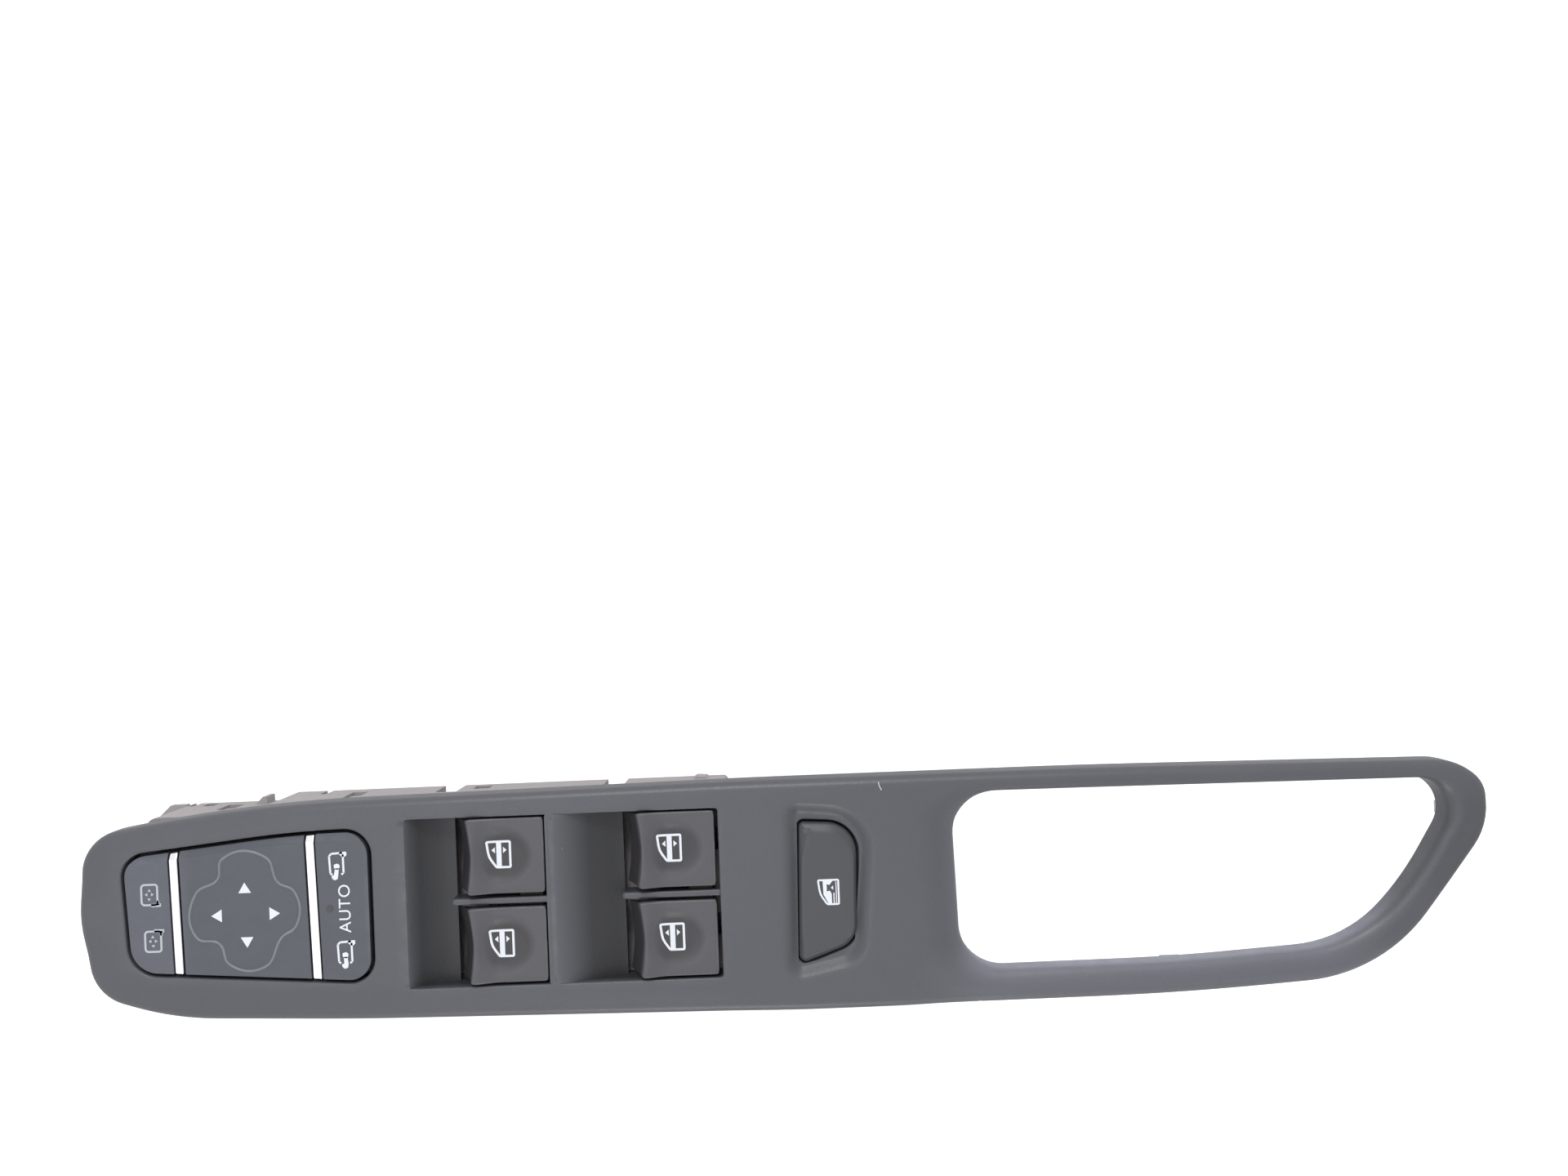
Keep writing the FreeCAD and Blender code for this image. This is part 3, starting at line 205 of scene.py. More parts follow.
def quarter_round(steps):
    """Shares of a quarter round from its foot up: how far it leans in, and how far it is below its crest."""
    angles = [math.pi / 2 * step / steps for step in range(steps + 1)]
    return [(1 - math.cos(angle), 1 - math.sin(angle)) for angle in angles]


def add_object(name, data):
    """A new object in the scene."""
    item = bpy.data.objects.new(name, data)
    bpy.context.scene.collection.objects.link(item)
    return item


def mesh_of_curve(name, curve):
    """A mesh object with the shape of a curve or a word."""
    carrier = add_object(name + "_source", curve)
    bpy.context.view_layer.update()
    mesh = bpy.data.meshes.new_from_object(carrier.evaluated_get(bpy.context.evaluated_depsgraph_get()))
    bpy.data.objects.remove(carrier)
    return add_object(name, mesh)


def turn_shells_up(shape):
    """Turn over each separate shell of a mesh that looks down."""
    shape.normal_update()
    seen = set()
    for start in shape.faces:
        if start in seen:
            continue
        seen.add(start)
        shell = [start]
        for face in shell:
            for edge in face.edges:
                beyond = [other for other in edge.link_faces if other not in seen]
                seen.update(beyond)
                shell += beyond
        if sum(face.normal.z * face.calc_area() for face in shell) < 0:
            bmesh.ops.reverse_faces(shape, faces=shell)


class Skin:
    """Vertices and faces of one mesh while it is put together, in millimetres."""

    def __init__(self):
        self.points = []
        self.faces = []

    def ring(self, flat, heights):
        """Add a closed row of points and return their numbers."""
        heights = np.broadcast_to(heights, len(flat))
        first = len(self.points)
        self.points += [(spot[0], spot[1], height) for spot, height in zip(flat, heights)]
        return list(range(first, len(self.points)))

    def row(self, places):
        """Add points and return their numbers."""
        first = len(self.points)
        self.points += [tuple(place) for place in places]
        return list(range(first, len(self.points)))

    def bridge(self, upper, lower, closed=True):
        """Quads between two rows of as many points."""
        last = len(upper) if closed else len(upper) - 1
        for index in range(last):
            following = (index + 1) % len(upper)
            self.faces.append((upper[index], lower[index], lower[following], upper[following]))

    def stack(self, rings):
        """Quads between each ring and the next, from the lowest ring up."""
        for lower, upper in zip(rings, rings[1:]):
            self.bridge(upper, lower)

    def fill(self, border, holes, height, spacing=2.0, keep_off=0.7):
        """Triangles over the flat region between a border ring and the rings of its holes."""
        rings = [border] + holes
        flat = [np.array([self.points[index][:2] for index in ring]) for ring in rings]
        low, high = flat[0].min(0), flat[0].max(0)
        columns = np.arange(low[0], high[0], spacing)
        across, up = np.meshgrid(columns, np.arange(low[1], high[1], spacing))
        across[1::2] += spacing / 2
        clear = distance_to(flat[0], across, up) > keep_off
        for hole in flat[1:]:
            clear &= distance_to(hole, across, up) < -keep_off
        inner = np.stack([across[clear], up[clear]], axis=1)
        heights = height(inner[:, 0], inner[:, 1])
        extra = self.row([(spot[0], spot[1], level) for spot, level in zip(inner, heights)])
        numbers = [index for ring in rings for index in ring] + extra
        spots = [Vector(self.points[index][:2]) for index in numbers]
        edges = []
        first = 0
        for ring in rings:
            edges += [(first + step, first + (step + 1) % len(ring)) for step in range(len(ring))]
            first += len(ring)
        made = geometry.delaunay_2d_cdt(spots, edges, [], 0, 1e-7)
        origin = []
        for spot, sources in zip(made[0], made[3]):
            if sources:
                origin.append(numbers[sources[0]])
            else:
                level = height(np.array([spot[0]]), np.array([spot[1]]))[0]
                origin += self.row([(spot[0], spot[1], float(level))])
        middles = np.array([np.mean([made[0][corner] for corner in face], axis=0) for face in made[2]])
        keep = distance_to(flat[0], middles[:, 0], middles[:, 1]) > 0
        for hole in flat[1:]:
            keep &= distance_to(hole, middles[:, 0], middles[:, 1]) < 0
        for face, wanted in zip(made[2], keep):
            if wanted:
                self.faces.append(tuple(origin[corner] for corner in face))

    def close(self, first, second):
        """A closed block between two rows."""
        self.bridge(first, second)
        self.faces.append(tuple(first))
        self.faces.append(tuple(second[::-1]))

    def prism(self, outline, bottom, top):
        """A closed block over an outline. Each end is one level or a level for each point."""
        lower = self.ring(outline, bottom)
        upper = self.ring(outline, top)
        self.close(upper, lower)

    def slab(self, way, profile, start, end):
        """A closed block of a profile in the x-z plane (way y) or the y-z plane (way x)."""
        if way == "y":
            near = self.row([(x, start, z) for x, z in profile])
            far = self.row([(x, end, z) for x, z in profile])
        else:
            near = self.row([(start, y, z) for y, z in profile])
            far = self.row([(end, y, z) for y, z in profile])
        self.close(near, far)

    def finish(self, name, smooth_angle=32.0, facing_up=False):
        """The object made from what was put together, shaded smooth under an angle."""
        mesh = bpy.data.meshes.new(name)
        mesh.from_pydata([tuple(value * MM for value in point) for point in self.points], [], self.faces)
        shape = bmesh.new()
        shape.from_mesh(mesh)
        bmesh.ops.remove_doubles(shape, verts=shape.verts, dist=2e-6)
        bmesh.ops.dissolve_degenerate(shape, edges=shape.edges, dist=1e-6)
        bmesh.ops.recalc_face_normals(shape, faces=shape.faces)
        if facing_up:
            turn_shells_up(shape)
        shape.to_mesh(mesh)
        shape.free()
        item = add_object(name, mesh)
        shade(item, smooth_angle)
        return item


def shade(item, angle):
    """Smooth shading with sharp edges above an angle."""
    shape = bmesh.new()
    shape.from_mesh(item.data)
    for face in shape.faces:
        face.smooth = True
    limit = math.radians(angle)
    for edge in shape.edges:
        edge.smooth = len(edge.link_faces) == 2 and edge.calc_face_angle(0) < limit
    shape.to_mesh(item.data)
    shape.free()


def round_edges(item, width, segments=3, angle=30.0):
    """Round the edges of a piece that are sharper than an angle."""
    bevel = item.modifiers.new("rounded_edges", "BEVEL")
    bevel.width = width * MM
    bevel.segments = segments
    bevel.limit_method = "ANGLE"
    bevel.angle_limit = math.radians(angle)
    item.modifiers.new("flat_faces_stay_flat", "WEIGHTED_NORMAL")
    return item


def put_on(item, body, material):
    """Give a new piece its material and its body."""
    item.data.materials.clear()
    item.data.materials.append(material)
    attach(item, body)
    return item


# Materials


def node_group(name, inputs, outputs):
    """An empty shader node group with float sockets, and its two end nodes."""
    group = bpy.data.node_groups.new(name, "ShaderNodeTree")
    for label, value in inputs:
        socket = group.interface.new_socket(name=label, in_out="INPUT", socket_type="NodeSocketFloat")
        socket.default_value = value
    for label, kind in outputs:
        group.interface.new_socket(name=label, in_out="OUTPUT", socket_type=kind)
    return group, group.nodes.new("NodeGroupInput"), group.nodes.new("NodeGroupOutput")


def math_node(tree, operation, first, second):
    """A math node whose inputs are sockets or numbers."""
    node = tree.nodes.new("ShaderNodeMath")
    node.operation = operation
    for slot, source in zip(node.inputs, (first, second)):
        if isinstance(source, (int, float)):
            slot.default_value = source
        else:
            tree.links.new(source, slot)
    return node.outputs[0]


def mapped(tree, value, from_low, from_high, to_low, to_high):
    """A value carried from one range to another, and held inside it."""
    node = tree.nodes.new("ShaderNodeMapRange")
    for slot, source in zip(node.inputs, (value, from_low, from_high, to_low, to_high)):
        if isinstance(source, (int, float)):
            slot.default_value = source
        else:
            tree.links.new(source, slot)
    return node.outputs[0]


def noise(tree, scale, detail=2.0, roughness=0.5):
    """A noise value in the piece's own coordinates, scale per metre."""
    place = tree.nodes.new("ShaderNodeTexCoord")
    node = tree.nodes.new("ShaderNodeTexNoise")
    node.inputs["Detail"].default_value = detail
    node.inputs["Roughness"].default_value = roughness
    if isinstance(scale, (int, float)):
        node.inputs["Scale"].default_value = scale
    else:
        tree.links.new(scale, node.inputs["Scale"])
    tree.links.new(place.outputs["Object"], node.inputs["Vector"])
    return node.outputs["Fac"]


def cells(tree, scale, feature, output):
    """A cell pattern in the piece's own coordinates."""
    place = tree.nodes.new("ShaderNodeTexCoord")
    node = tree.nodes.new("ShaderNodeTexVoronoi")
    node.feature = feature
    tree.links.new(scale, node.inputs["Scale"])
    tree.links.new(place.outputs["Object"], node.inputs["Vector"])
    return node.outputs[output]


def make_grain_group():
    """Fine moulded grain: small pebbles with soft valleys, and a slight change of tone."""
    group, start, end = node_group(
        "moulded_grain",
        [("Pebbles per metre", 1800.0), ("Tone change", 0.1)],
        [("Height", "NodeSocketFloat"), ("Tone", "NodeSocketFloat")],
    )
    size = start.outputs["Pebbles per metre"]
    pebble = math_node(group, "MULTIPLY", cells(group, size, "SMOOTH_F1", "Distance"), -0.7)
    fine = noise(group, math_node(group, "MULTIPLY", size, 1.7), 3.0)
    height = math_node(group, "ADD", pebble, math_node(group, "MULTIPLY", fine, 0.6))
    group.links.new(height, end.inputs["Height"])
    speckle = math_node(group, "SUBTRACT", fine, 0.5)
    cloud = math_node(group, "MULTIPLY", math_node(group, "SUBTRACT", noise(group, 28.0, 3.0), 0.5), 0.6)
    both = math_node(group, "ADD", speckle, cloud)
    change = math_node(group, "MULTIPLY", both, start.outputs["Tone change"])
    group.links.new(math_node(group, "ADD", change, 1.0), end.inputs["Tone"])
    return group


def make_wear_group():
    """Where edges are rubbed lighter: a mask from the sharpness of the shape, broken up by noise."""
    group, start, end = node_group("edge_wear", [("Amount", 0.5)], [("Mask", "NodeSocketFloat")])
    shape = group.nodes.new("ShaderNodeNewGeometry")
    sharp = mapped(group, shape.outputs["Pointiness"], 0.51, 0.60, 0.0, 1.0)
    patchy = mapped(group, noise(group, 240.0, 4.0), 0.35, 0.7, 0.2, 1.0)
    mask = math_node(group, "MULTIPLY", math_node(group, "MULTIPLY", sharp, patchy), start.outputs["Amount"])
    group.links.new(mask, end.inputs["Mask"])
    return group


def make_dust_group():
    """Sparse pale specks of dust."""
    group, start, end = node_group(
        "dust_specks", [("Specks per metre", 90.0), ("Size", 0.05)], [("Mask", "NodeSocketFloat")]
    )
    size = start.outputs["Size"]
    near = cells(group, start.outputs["Specks per metre"], "F1", "Distance")
    chosen = mapped(group, noise(group, 70.0, 1.0), 0.58, 0.62, 0.0, 1.0)
    spot = mapped(group, near, size, math_node(group, "MULTIPLY", size, 0.4), 0.0, 1.0)
    group.links.new(math_node(group, "MULTIPLY", spot, chosen), end.inputs["Mask"])
    return group


GRAIN = make_grain_group()
WEAR = make_wear_group()
DUST = make_dust_group()


def use_group(tree, group, **values):
    """A group placed in a material with its own values."""
    node = tree.nodes.new("ShaderNodeGroup")
    node.node_tree = group
    for label, value in values.items():
        node.inputs[label.replace("_", " ")].default_value = value
    return node


def mix_colour(tree, share, first, second, blend="MIX"):
    """A mix of two colours, each a socket or a tuple."""
    node = tree.nodes.new("ShaderNodeMix")
    node.data_type = "RGBA"
    node.blend_type = blend
    for slot, source in ((node.inputs[0], share), (node.inputs[6], first), (node.inputs[7], second)):
        if isinstance(source, (int, float)):
            slot.default_value = source
        elif isinstance(source, tuple):
            slot.default_value = source + (1.0,)
        else:
            tree.links.new(source, slot)
    return node.outputs[2]


def linear(red, green, blue):
    """A colour given as 0 to 255 values of a picture, as linear light."""
    values = []
    for value in (red, green, blue):
        share = value / 255
        values.append(share / 12.92 if share <= 0.04045 else ((share + 0.055) / 1.055) ** 2.4)
    return tuple(values)


def new_material(name):
    """An empty node material, with its node tree and shader."""
    material = bpy.data.materials.new(name)
    material.use_nodes = True
    return material, material.node_tree, material.node_tree.nodes["Principled BSDF"]


def toned(tree, colour, share):
    """A colour made lighter or darker by a share that changes over the surface."""
    grey = tree.nodes.new("ShaderNodeCombineColor")
    for slot in grey.inputs:
        tree.links.new(share, slot)
    return mix_colour(tree, 1.0, colour, grey.outputs[0], "MULTIPLY")


def moulded_plastic(name, colour, roughness, pebbles, depth, tone=0.10, wear=0.35, dust=0.0):
    """A moulded plastic with grain, rubbed edges and dust."""
    material, tree, shader = new_material(name)
    grain = use_group(tree, GRAIN, Pebbles_per_metre=pebbles, Tone_change=tone)
    edges = use_group(tree, WEAR, Amount=wear)
    worn = tuple(min(1.0, value * 1.8 + 0.03) for value in colour)
    base = mix_colour(tree, edges.outputs["Mask"], toned(tree, colour, grain.outputs["Tone"]), worn)
    if dust:
        specks = use_group(tree, DUST, Specks_per_metre=dust, Size=0.05)
        base = mix_colour(tree, specks.outputs["Mask"], base, linear(196, 190, 180))
    tree.links.new(base, shader.inputs["Base Color"])
    rough = mapped(tree, grain.outputs["Height"], -0.5, 0.6, roughness - 0.05, roughness + 0.06)
    tree.links.new(rough, shader.inputs["Roughness"])
    bump = tree.nodes.new("ShaderNodeBump")
    bump.inputs["Distance"].default_value = depth * MM
    tree.links.new(grain.outputs["Height"], bump.inputs["Height"])
    tree.links.new(bump.outputs["Normal"], shader.inputs["Normal"])
    return material


def paint_light_and_shade(material, tone, *ramps, bluer=1.0):
    """Paint light and shade into a finish: make it lighter or darker in a region. A ramp is an axis, its
    start and its end.
    """
    tree = material.node_tree
    base = tree.nodes["Principled BSDF"].inputs["Base Color"]
    source = base.links[0].from_socket
    place = tree.nodes.new("ShaderNodeTexCoord")
    parts = tree.nodes.new("ShaderNodeSeparateXYZ")
    tree.links.new(place.outputs["Object"], parts.inputs[0])
    inside = 1.0
    for axis, start, full in ramps:
        ramp = mapped(tree, parts.outputs[axis], start * MM, full * MM, 0.0, 1.0)
        inside = math_node(tree, "MULTIPLY", ramp, inside)
    changed = mix_colour(tree, 1.0, source, (tone, tone, tone * bluer), "MULTIPLY")
    tree.links.new(mix_colour(tree, inside, source, changed), base)


def polished(name, colour, roughness, metallic=0.0, coat=0.0, transmission=0.0, fleck=400.0):
    """A smooth finish with faint clouding."""
    material, tree, shader = new_material(name)
    cloud = noise(tree, fleck, 4.0)
    base = toned(tree, colour, mapped(tree, cloud, 0.3, 0.7, 0.94, 1.04))
    tree.links.new(base, shader.inputs["Base Color"])
    spread = mapped(tree, cloud, 0.3, 0.7, roughness * 0.8, roughness * 1.3)
    tree.links.new(spread, shader.inputs["Roughness"])
    shader.inputs["Metallic"].default_value = metallic
    shader.inputs["Coat Weight"].default_value = coat
    shader.inputs["Transmission Weight"].default_value = transmission
    return material


# Moulded finishes: colour, roughness, pebbles per metre and depth of the grain
PANEL = moulded_plastic(PANEL_PLASTIC, linear(83, 84, 90), 0.42, 1500.0, 0.045, tone=0.25, dust=60.0)
# Painted shade: the finger scoops are darker towards their floors, where shade falls in the wells
paint_light_and_shade(PANEL, 0.30, ("Z", 35.9, 32.5), ("X", -106.6, -106.0), ("X", -15.9, -16.5), ("Y", -22.8, -22.2),
       ("Y", 25.5, 24.9), bluer=1.02)
# Painted highlight: the walls of the pull handle's opening are made lighter, as they catch light from the
# bright floor
paint_light_and_shade(PANEL, 2.10, ("Z", 35.6, 31.0), ("X", 41.0, 50.0), ("X", 172.0, 163.0), ("Y", -29.5, -28.3),
       ("Y", 27.6, 26.4), bluer=1.03)
# Painted light and shade: the near bar of the loop is made lighter and its end bar darker
paint_light_and_shade(PANEL, 1.30, ("X", 32.0, 56.0), ("X", 174.0, 150.0), ("Y", -15.5, -22.5), bluer=1.01)
paint_light_and_shade(PANEL, 0.80, ("X", 171.0, 185.0), ("Y", -21.0, -3.0), ("Y", 27.0, 17.0), bluer=1.01)
ROCKER = moulded_plastic(ROCKER_PLASTIC, linear(81, 80, 85), 0.44, 1700.0, 0.03, tone=0.2, wear=0.5)
# A rocker's front and sides stand in the shadow of its cap
paint_light_and_shade(ROCKER, 0.34, ("Z", 36.0, 34.6))
KEY = moulded_plastic(KEY_PLASTIC, linear(86, 89, 98), 0.40, 2200.0, 0.02, tone=0.1, wear=0.4)
# Painted shade: the mirror pad and the fold key are darker than the select key, away from the light on the
# left
paint_light_and_shade(KEY, 0.80, ("X", -168.0, -164.0), bluer=1.01)
BUTTON = moulded_plastic("button_plastic", linear(70, 71, 76), 0.42, 1700.0, 0.03, tone=0.15, wear=0.5)
HOUSING = moulded_plastic("housing_plastic", linear(160, 155, 156), 0.5, 900.0, 0.02, tone=0.05, wear=0.1)
# Painted shade: the housing is dark where the panel's skirt covers it and shade falls under it
paint_light_and_shade(HOUSING, 0.04, ("Z", 24.65, 25.2))
FRAME = moulded_plastic("frame_plastic", linear(38, 38, 40), 0.6, 1400.0, 0.03)
CONNECTOR = moulded_plastic("connector_plastic", linear(30, 30, 32), 0.5, 1400.0, 0.03)
# Painted highlight: the pad's raised line is a lighter copy of the key plastic, for the light on its crest
RIDGE_HIGHLIGHT = moulded_plastic("ridge_highlight_plastic", linear(116, 118, 126), 0.40, 2200.0, 0.01, tone=0.1)
SILICONE = moulded_plastic("silicone", linear(205, 206, 202), 0.65, 700.0, 0.03, tone=0.06)
BOARD = moulded_plastic("board_laminate", linear(38, 88, 58), 0.35, 600.0, 0.01, tone=0.12)
# Smooth finishes: colour and roughness
CHROME = polished("chrome_plate", linear(244, 244, 246), 0.10, metallic=1.0)
STEEL = polished("clip_steel", linear(176, 178, 182), 0.32, metallic=1.0)
BRASS = polished("contact_tin", linear(205, 198, 170), 0.28, metallic=1.0)
SMOKED = polished("smoked_plastic", linear(26, 26, 28), 0.15, coat=0.4)
CLEAR = polished("clear_plastic", linear(226, 232, 236), 0.12, transmission=0.7)
LAMP = polished("lamp_plastic", linear(236, 230, 196), 0.25, coat=0.3)
PAINT = polished("symbol_paint", linear(232, 236, 244), 0.5, fleck=2500.0)
SCUFF = polished("scratched_plastic", linear(214, 208, 196), 0.6, fleck=2500.0)
DIM_PAINT = polished("symbol_paint_dim", linear(186, 192, 200), 0.5, fleck=2500.0)


# Panel


OUTER, OUTER_OUT = sample_outline(BEZEL_OUTLINE)
OPENING, OPENING_OUT = sample_outline(OPENING_OUTLINE)
# Width of the sloping border strips along the panel: places along x, and the widths there
FAR_STRIP = [-184, -171, -148, -107, -58, -13], [7.2, 5.2, 4.8, 3.6, 3.8, 3.9]
NEAR_STRIP = [-175, -150, -105, -15], [9.4, 9.1, 8.4, 8.1]


def panel_height(x, y):
    """Height of the panel's upper skin: flat in the middle, with border strips that slope outwards."""
    x = np.asarray(x, float)
    y = np.asarray(y, float)
    edge = distance_to(OUTER, x, y)
    bar = edge - distance_to(OPENING, x, y)
    far = smoothstep(0, 12, y)
    near = smoothstep(0, 12, -y)
    body = 1 - smoothstep(-22, 6, x)
    drop = body * far * 0.26 * softened(np.interp(x, *FAR_STRIP) - edge, 0.7)
    drop += body * near * 0.17 * softened(np.interp(x, *NEAR_STRIP) - edge, 0.9)
    handle = smoothstep(30, 62, x)
    upper = smoothstep(18, 24, y)
    ridge = bar * (0.60 - 0.12 * upper)
    drop += handle * (0.30 - 0.14 * upper) * softened(ridge - edge, 1.6)
    return PANEL_TOP - drop


def lower_bar():
    """1 at the points of the opening's outline along the near bar, 0 elsewhere."""
    x, y = OPENING[:, 0], OPENING[:, 1]
    return smoothstep(-8, -18, y) * smoothstep(52, 64, x)


def opening_reach():
    """How far the opening's soft edge reaches into the panel, for each point of its outline."""
    x, y = OPENING[:, 0], OPENING[:, 1]
    left = 1 - smoothstep(48.5, 60, x)
    upper = smoothstep(14, 24, y)
    corner = upper * (1 - smoothstep(52, 72, x))
    tail = smoothstep(165, 178, x) * smoothstep(8, 22, y)
    wanted = OPENING_ROUND - 0.6 * upper + 6.5 * left * (1 - 0.3 * upper)
    wanted += 2.0 * corner + 2.5 * tail + 2.2 * lower_bar()
    return np.minimum(wanted, distance_to(OUTER, x, y) - OUTER_ROUND - 0.8)


def scoop_height(well, x):
    """Height of a finger scoop's floor along its well: steep at once in front, soft at first behind."""
    along = x - WELL_LEFT[well]
    if well == "front":
        level = (1 - np.clip(along / 14.0, 0, 1)) ** 2.8
    else:
        level = (1 - np.clip(along / 20.0, 0, 1) ** 1.5) ** 1.7
    return PANEL_TOP - SCOOP_DEPTH * (1 - level)


def well_edges(well):
    """Left end, foot and right end of a well."""
    pivot = PIVOT_X[well]
    return WELL_LEFT[well], pivot - FOOT_REACH, pivot + REAR_REACH


def box_outline(left, right, near, far, radius=0.8):
    """Corners of a rectangle with small rounds."""
    return [(left, near, radius), (right, near, radius), (right, far, radius), (left, far, radius)]


def add_well(skin, well):
    """Rounded rim, walls and scoop floor of a well. Returns the rim's outer ring."""
    left, foot, right = well_edges(well)
    hole, out = sample_outline(box_outline(left, right, WELL_NEAR, WELL_FAR), side_step=1.6, arc_step=30)
    reach = WELL_RIM * smoothstep(0.0, 1.2, hole[:, 0] - left)
    rings = []
    for lean, below in quarter_round(4):
        rings.append(skin.ring(hole + out * (reach * lean)[:, None], PANEL_TOP - reach * below))
    skin.stack(rings)
    floor = np.where(hole[:, 0] < foot, scoop_height(well, hole[:, 0]) - 0.1, SKIRT_BOTTOM)
    skin.bridge(rings[0], skin.ring(hole, np.minimum(floor, PANEL_TOP - reach)))
    sides = np.unique(np.round(hole[hole[:, 0] < left + 0.01, 1], 6))
    across = (WELL_NEAR, *sides, WELL_FAR)
    steps = np.concatenate([np.linspace(left - SEAM, left + 6, 13), np.linspace(left + 6.8, foot, 12)])
    rows = [skin.row([(x, y, scoop_height(well, x)) for y in across]) for x in steps]
    rows.append(skin.row([(foot, y, SKIRT_BOTTOM) for y in across]))
    for first, second in zip(rows, rows[1:]):
        skin.bridge(first, second, closed=False)
    return rings[-1]


# Sections of the lock button's recess and of the lip of its hole: offset outwards and drop
RECESS_SLOPE = [(1.0, 0.0), (0.5, 0.04), (0.0, 0.18), (-0.5, 0.48), (-1.1, 0.95), (-1.9, 1.6), (-2.5, 2.05),
                (-3.0, 2.3), (-3.4, 2.4)]
BUTTON_LIP = [(1.1, 0.0), (0.8, 0.1), (0.6, 0.4), (0.6, 2.2)]


def add_recess(skin):
    """Soft recess of the lock button with the button's hole. Returns the recess's outer ring."""
    border, out = sample_outline(RECESS_OUTLINE, side_step=2.0)
    slope = [skin.ring(border + out * offset, PANEL_TOP - drop) for offset, drop in RECESS_SLOPE]
    skin.stack(slope[::-1])
    hole, way = sample_outline(LOCK_OUTLINE, side_step=2.0, arc_step=10)
    lip = [skin.ring(hole + way * offset, LOCK_FLOOR - drop) for offset, drop in BUTTON_LIP]
    skin.stack(lip[::-1])
    skin.fill(slope[-1], [lip[0]], lambda x, y: np.full(len(x), LOCK_FLOOR))
    return slope[0]


def add_module_hole(skin):
    """Rim of the hole that the mirror keys stand in. Returns its outer ring."""
    hole, out = sample_outline(MODULE_OUTLINE, side_step=2.4)
    rings = [skin.ring(hole + out * MODULE_GAP, PANEL_TOP - 4.4)]
    for lean, below in quarter_round(4):
        rings.append(skin.ring(hole + out * (MODULE_GAP + MODULE_RIM * lean), PANEL_TOP - MODULE_RIM * below))
    skin.stack(rings)
    return rings[-1]


def make_panel():
    """The moulded trim panel: upper skin, skirt, opening, wells and recess as one shell."""
    skin = Skin()
    crest = OUTER - OUTER_OUT * OUTER_ROUND
    top = panel_height(crest[:, 0], crest[:, 1])
    rim = [skin.ring(OUTER, SKIRT_BOTTOM)]
    for lean, below in quarter_round(7):
        rim.append(skin.ring(OUTER - OUTER_OUT * OUTER_ROUND * lean, top - OUTER_ROUND * below))
    skin.stack(rim)
    reach = opening_reach()
    depth = np.minimum(reach, OPENING_ROUND + (reach - OPENING_ROUND) * 0.30) * (1 - 0.4 * lower_bar())
    crest = OPENING + OPENING_OUT * reach[:, None]
    top = panel_height(crest[:, 0], crest[:, 1])
    mouth = [skin.ring(OPENING, SKIRT_BOTTOM)]
    for lean, below in quarter_round(8):
        mouth.append(skin.ring(OPENING + OPENING_OUT * (reach * lean)[:, None], top - depth * below))
    skin.stack(mouth)
    holes = [mouth[-1], add_module_hole(skin)]
    holes += [add_well(skin, "front"), add_well(skin, "rear"), add_recess(skin)]
    skin.fill(rim[-1], holes, panel_height, spacing=2.2)
    panel = skin.finish("trim_panel", 38, facing_up=True)
    wall = panel.modifiers.new("wall", "SOLIDIFY")
    wall.thickness = PANEL_WALL * MM
    wall.offset = -1
    return panel


# Posts under the panel: half length, half width, corner round and its step, foot, depth of the top, places
POSTS = [
    (3.2, 3.2, 1.4, 15, 22.0, 1.0, [(-109.8, 18.0), (-109.8, -15.0), (-10.6, 18.0), (-10.6, -15.0)]),
    (2.2, 1.7, 0.3, 8, 20.0, 3.0, [(37.5, 21.5), (37.5, -20.5), (110.0, -27.1), (191.0, 14.6)]),
    (1.8, 1.8, 1.79, 10, 21.0, 5.0, [(36.0, 1.0), (150.0, 28.0)]),
]


def small_block(x, y, half_length, half_width, radius=0.3, arc_step=8.0):
    """Outline of a small block around a place."""
    corners = box_outline(x - half_length, x + half_length, y - half_width, y + half_width, radius)
    return sample_outline(corners, arc_step=arc_step)[0]


def make_panel_posts():
    """Screw bosses, clip towers and locating pins under the panel."""
    skin = Skin()
    for half_length, half_width, radius, arc_step, foot, depth, places in POSTS:
        for x, y in places:
            skin.prism(small_block(x, y, half_length, half_width, radius, arc_step), foot, PANEL_TOP - depth)
    return round_edges(skin.finish("panel_posts"), 0.4, 2)


# Section of the lock button's sleeve: offset outwards from the button's outline, and level
SLEEVE_SECTION = [(0.8, 31.8), (0.8, 26.8), (-1.6, 26.8), (-1.6, 26.15), (2.0, 26.15), (2.0, 31.8)]


def make_lock_sleeve():
    """The sleeve under the recess that guides the lock button, with a ledge below the cap."""
    hole, way = sample_outline(LOCK_OUTLINE, side_step=2.0, arc_step=10)
    skin = Skin()
    rings = [skin.ring(hole + way * offset, level) for offset, level in SLEEVE_SECTION]
    skin.stack(rings + rings[:1])
    return skin.finish("lock_sleeve")


def make_divider_rib(well):
    """The rounded rib between the near and the far rocker of a pair."""
    _, foot, right = well_edges(well)
    start = foot - 0.2
    end = right + 0.3
    bridge_end = PIVOT_X[well] - 3.7
    profile = [(start, 28.2), (bridge_end, 28.2), (bridge_end, 33.0), (end, 33.0)]
    profile += [(end, 35.4), (start + 0.8, 35.4), (start, 34.6)]
    skin = Skin()
    skin.slab("y", profile, 0.4, 2.2)
    return round_edges(skin.finish(f"{well}_divider_rib"), 0.75, 4)


# Rockers


# A rocker's cap from its pivot: ends, half width, and the top with its dish
CAP_FRONT = -16.9
CAP_REAR = 4.5
CAP_HALF = 10.4
CAP_LEVEL = 5.9
DISH_DEPTH = 1.15
# Lower edges of the cap's skirt and of its lip in front
SKIRT_LEVEL = 33.2
LIP_LEVEL = 29.0


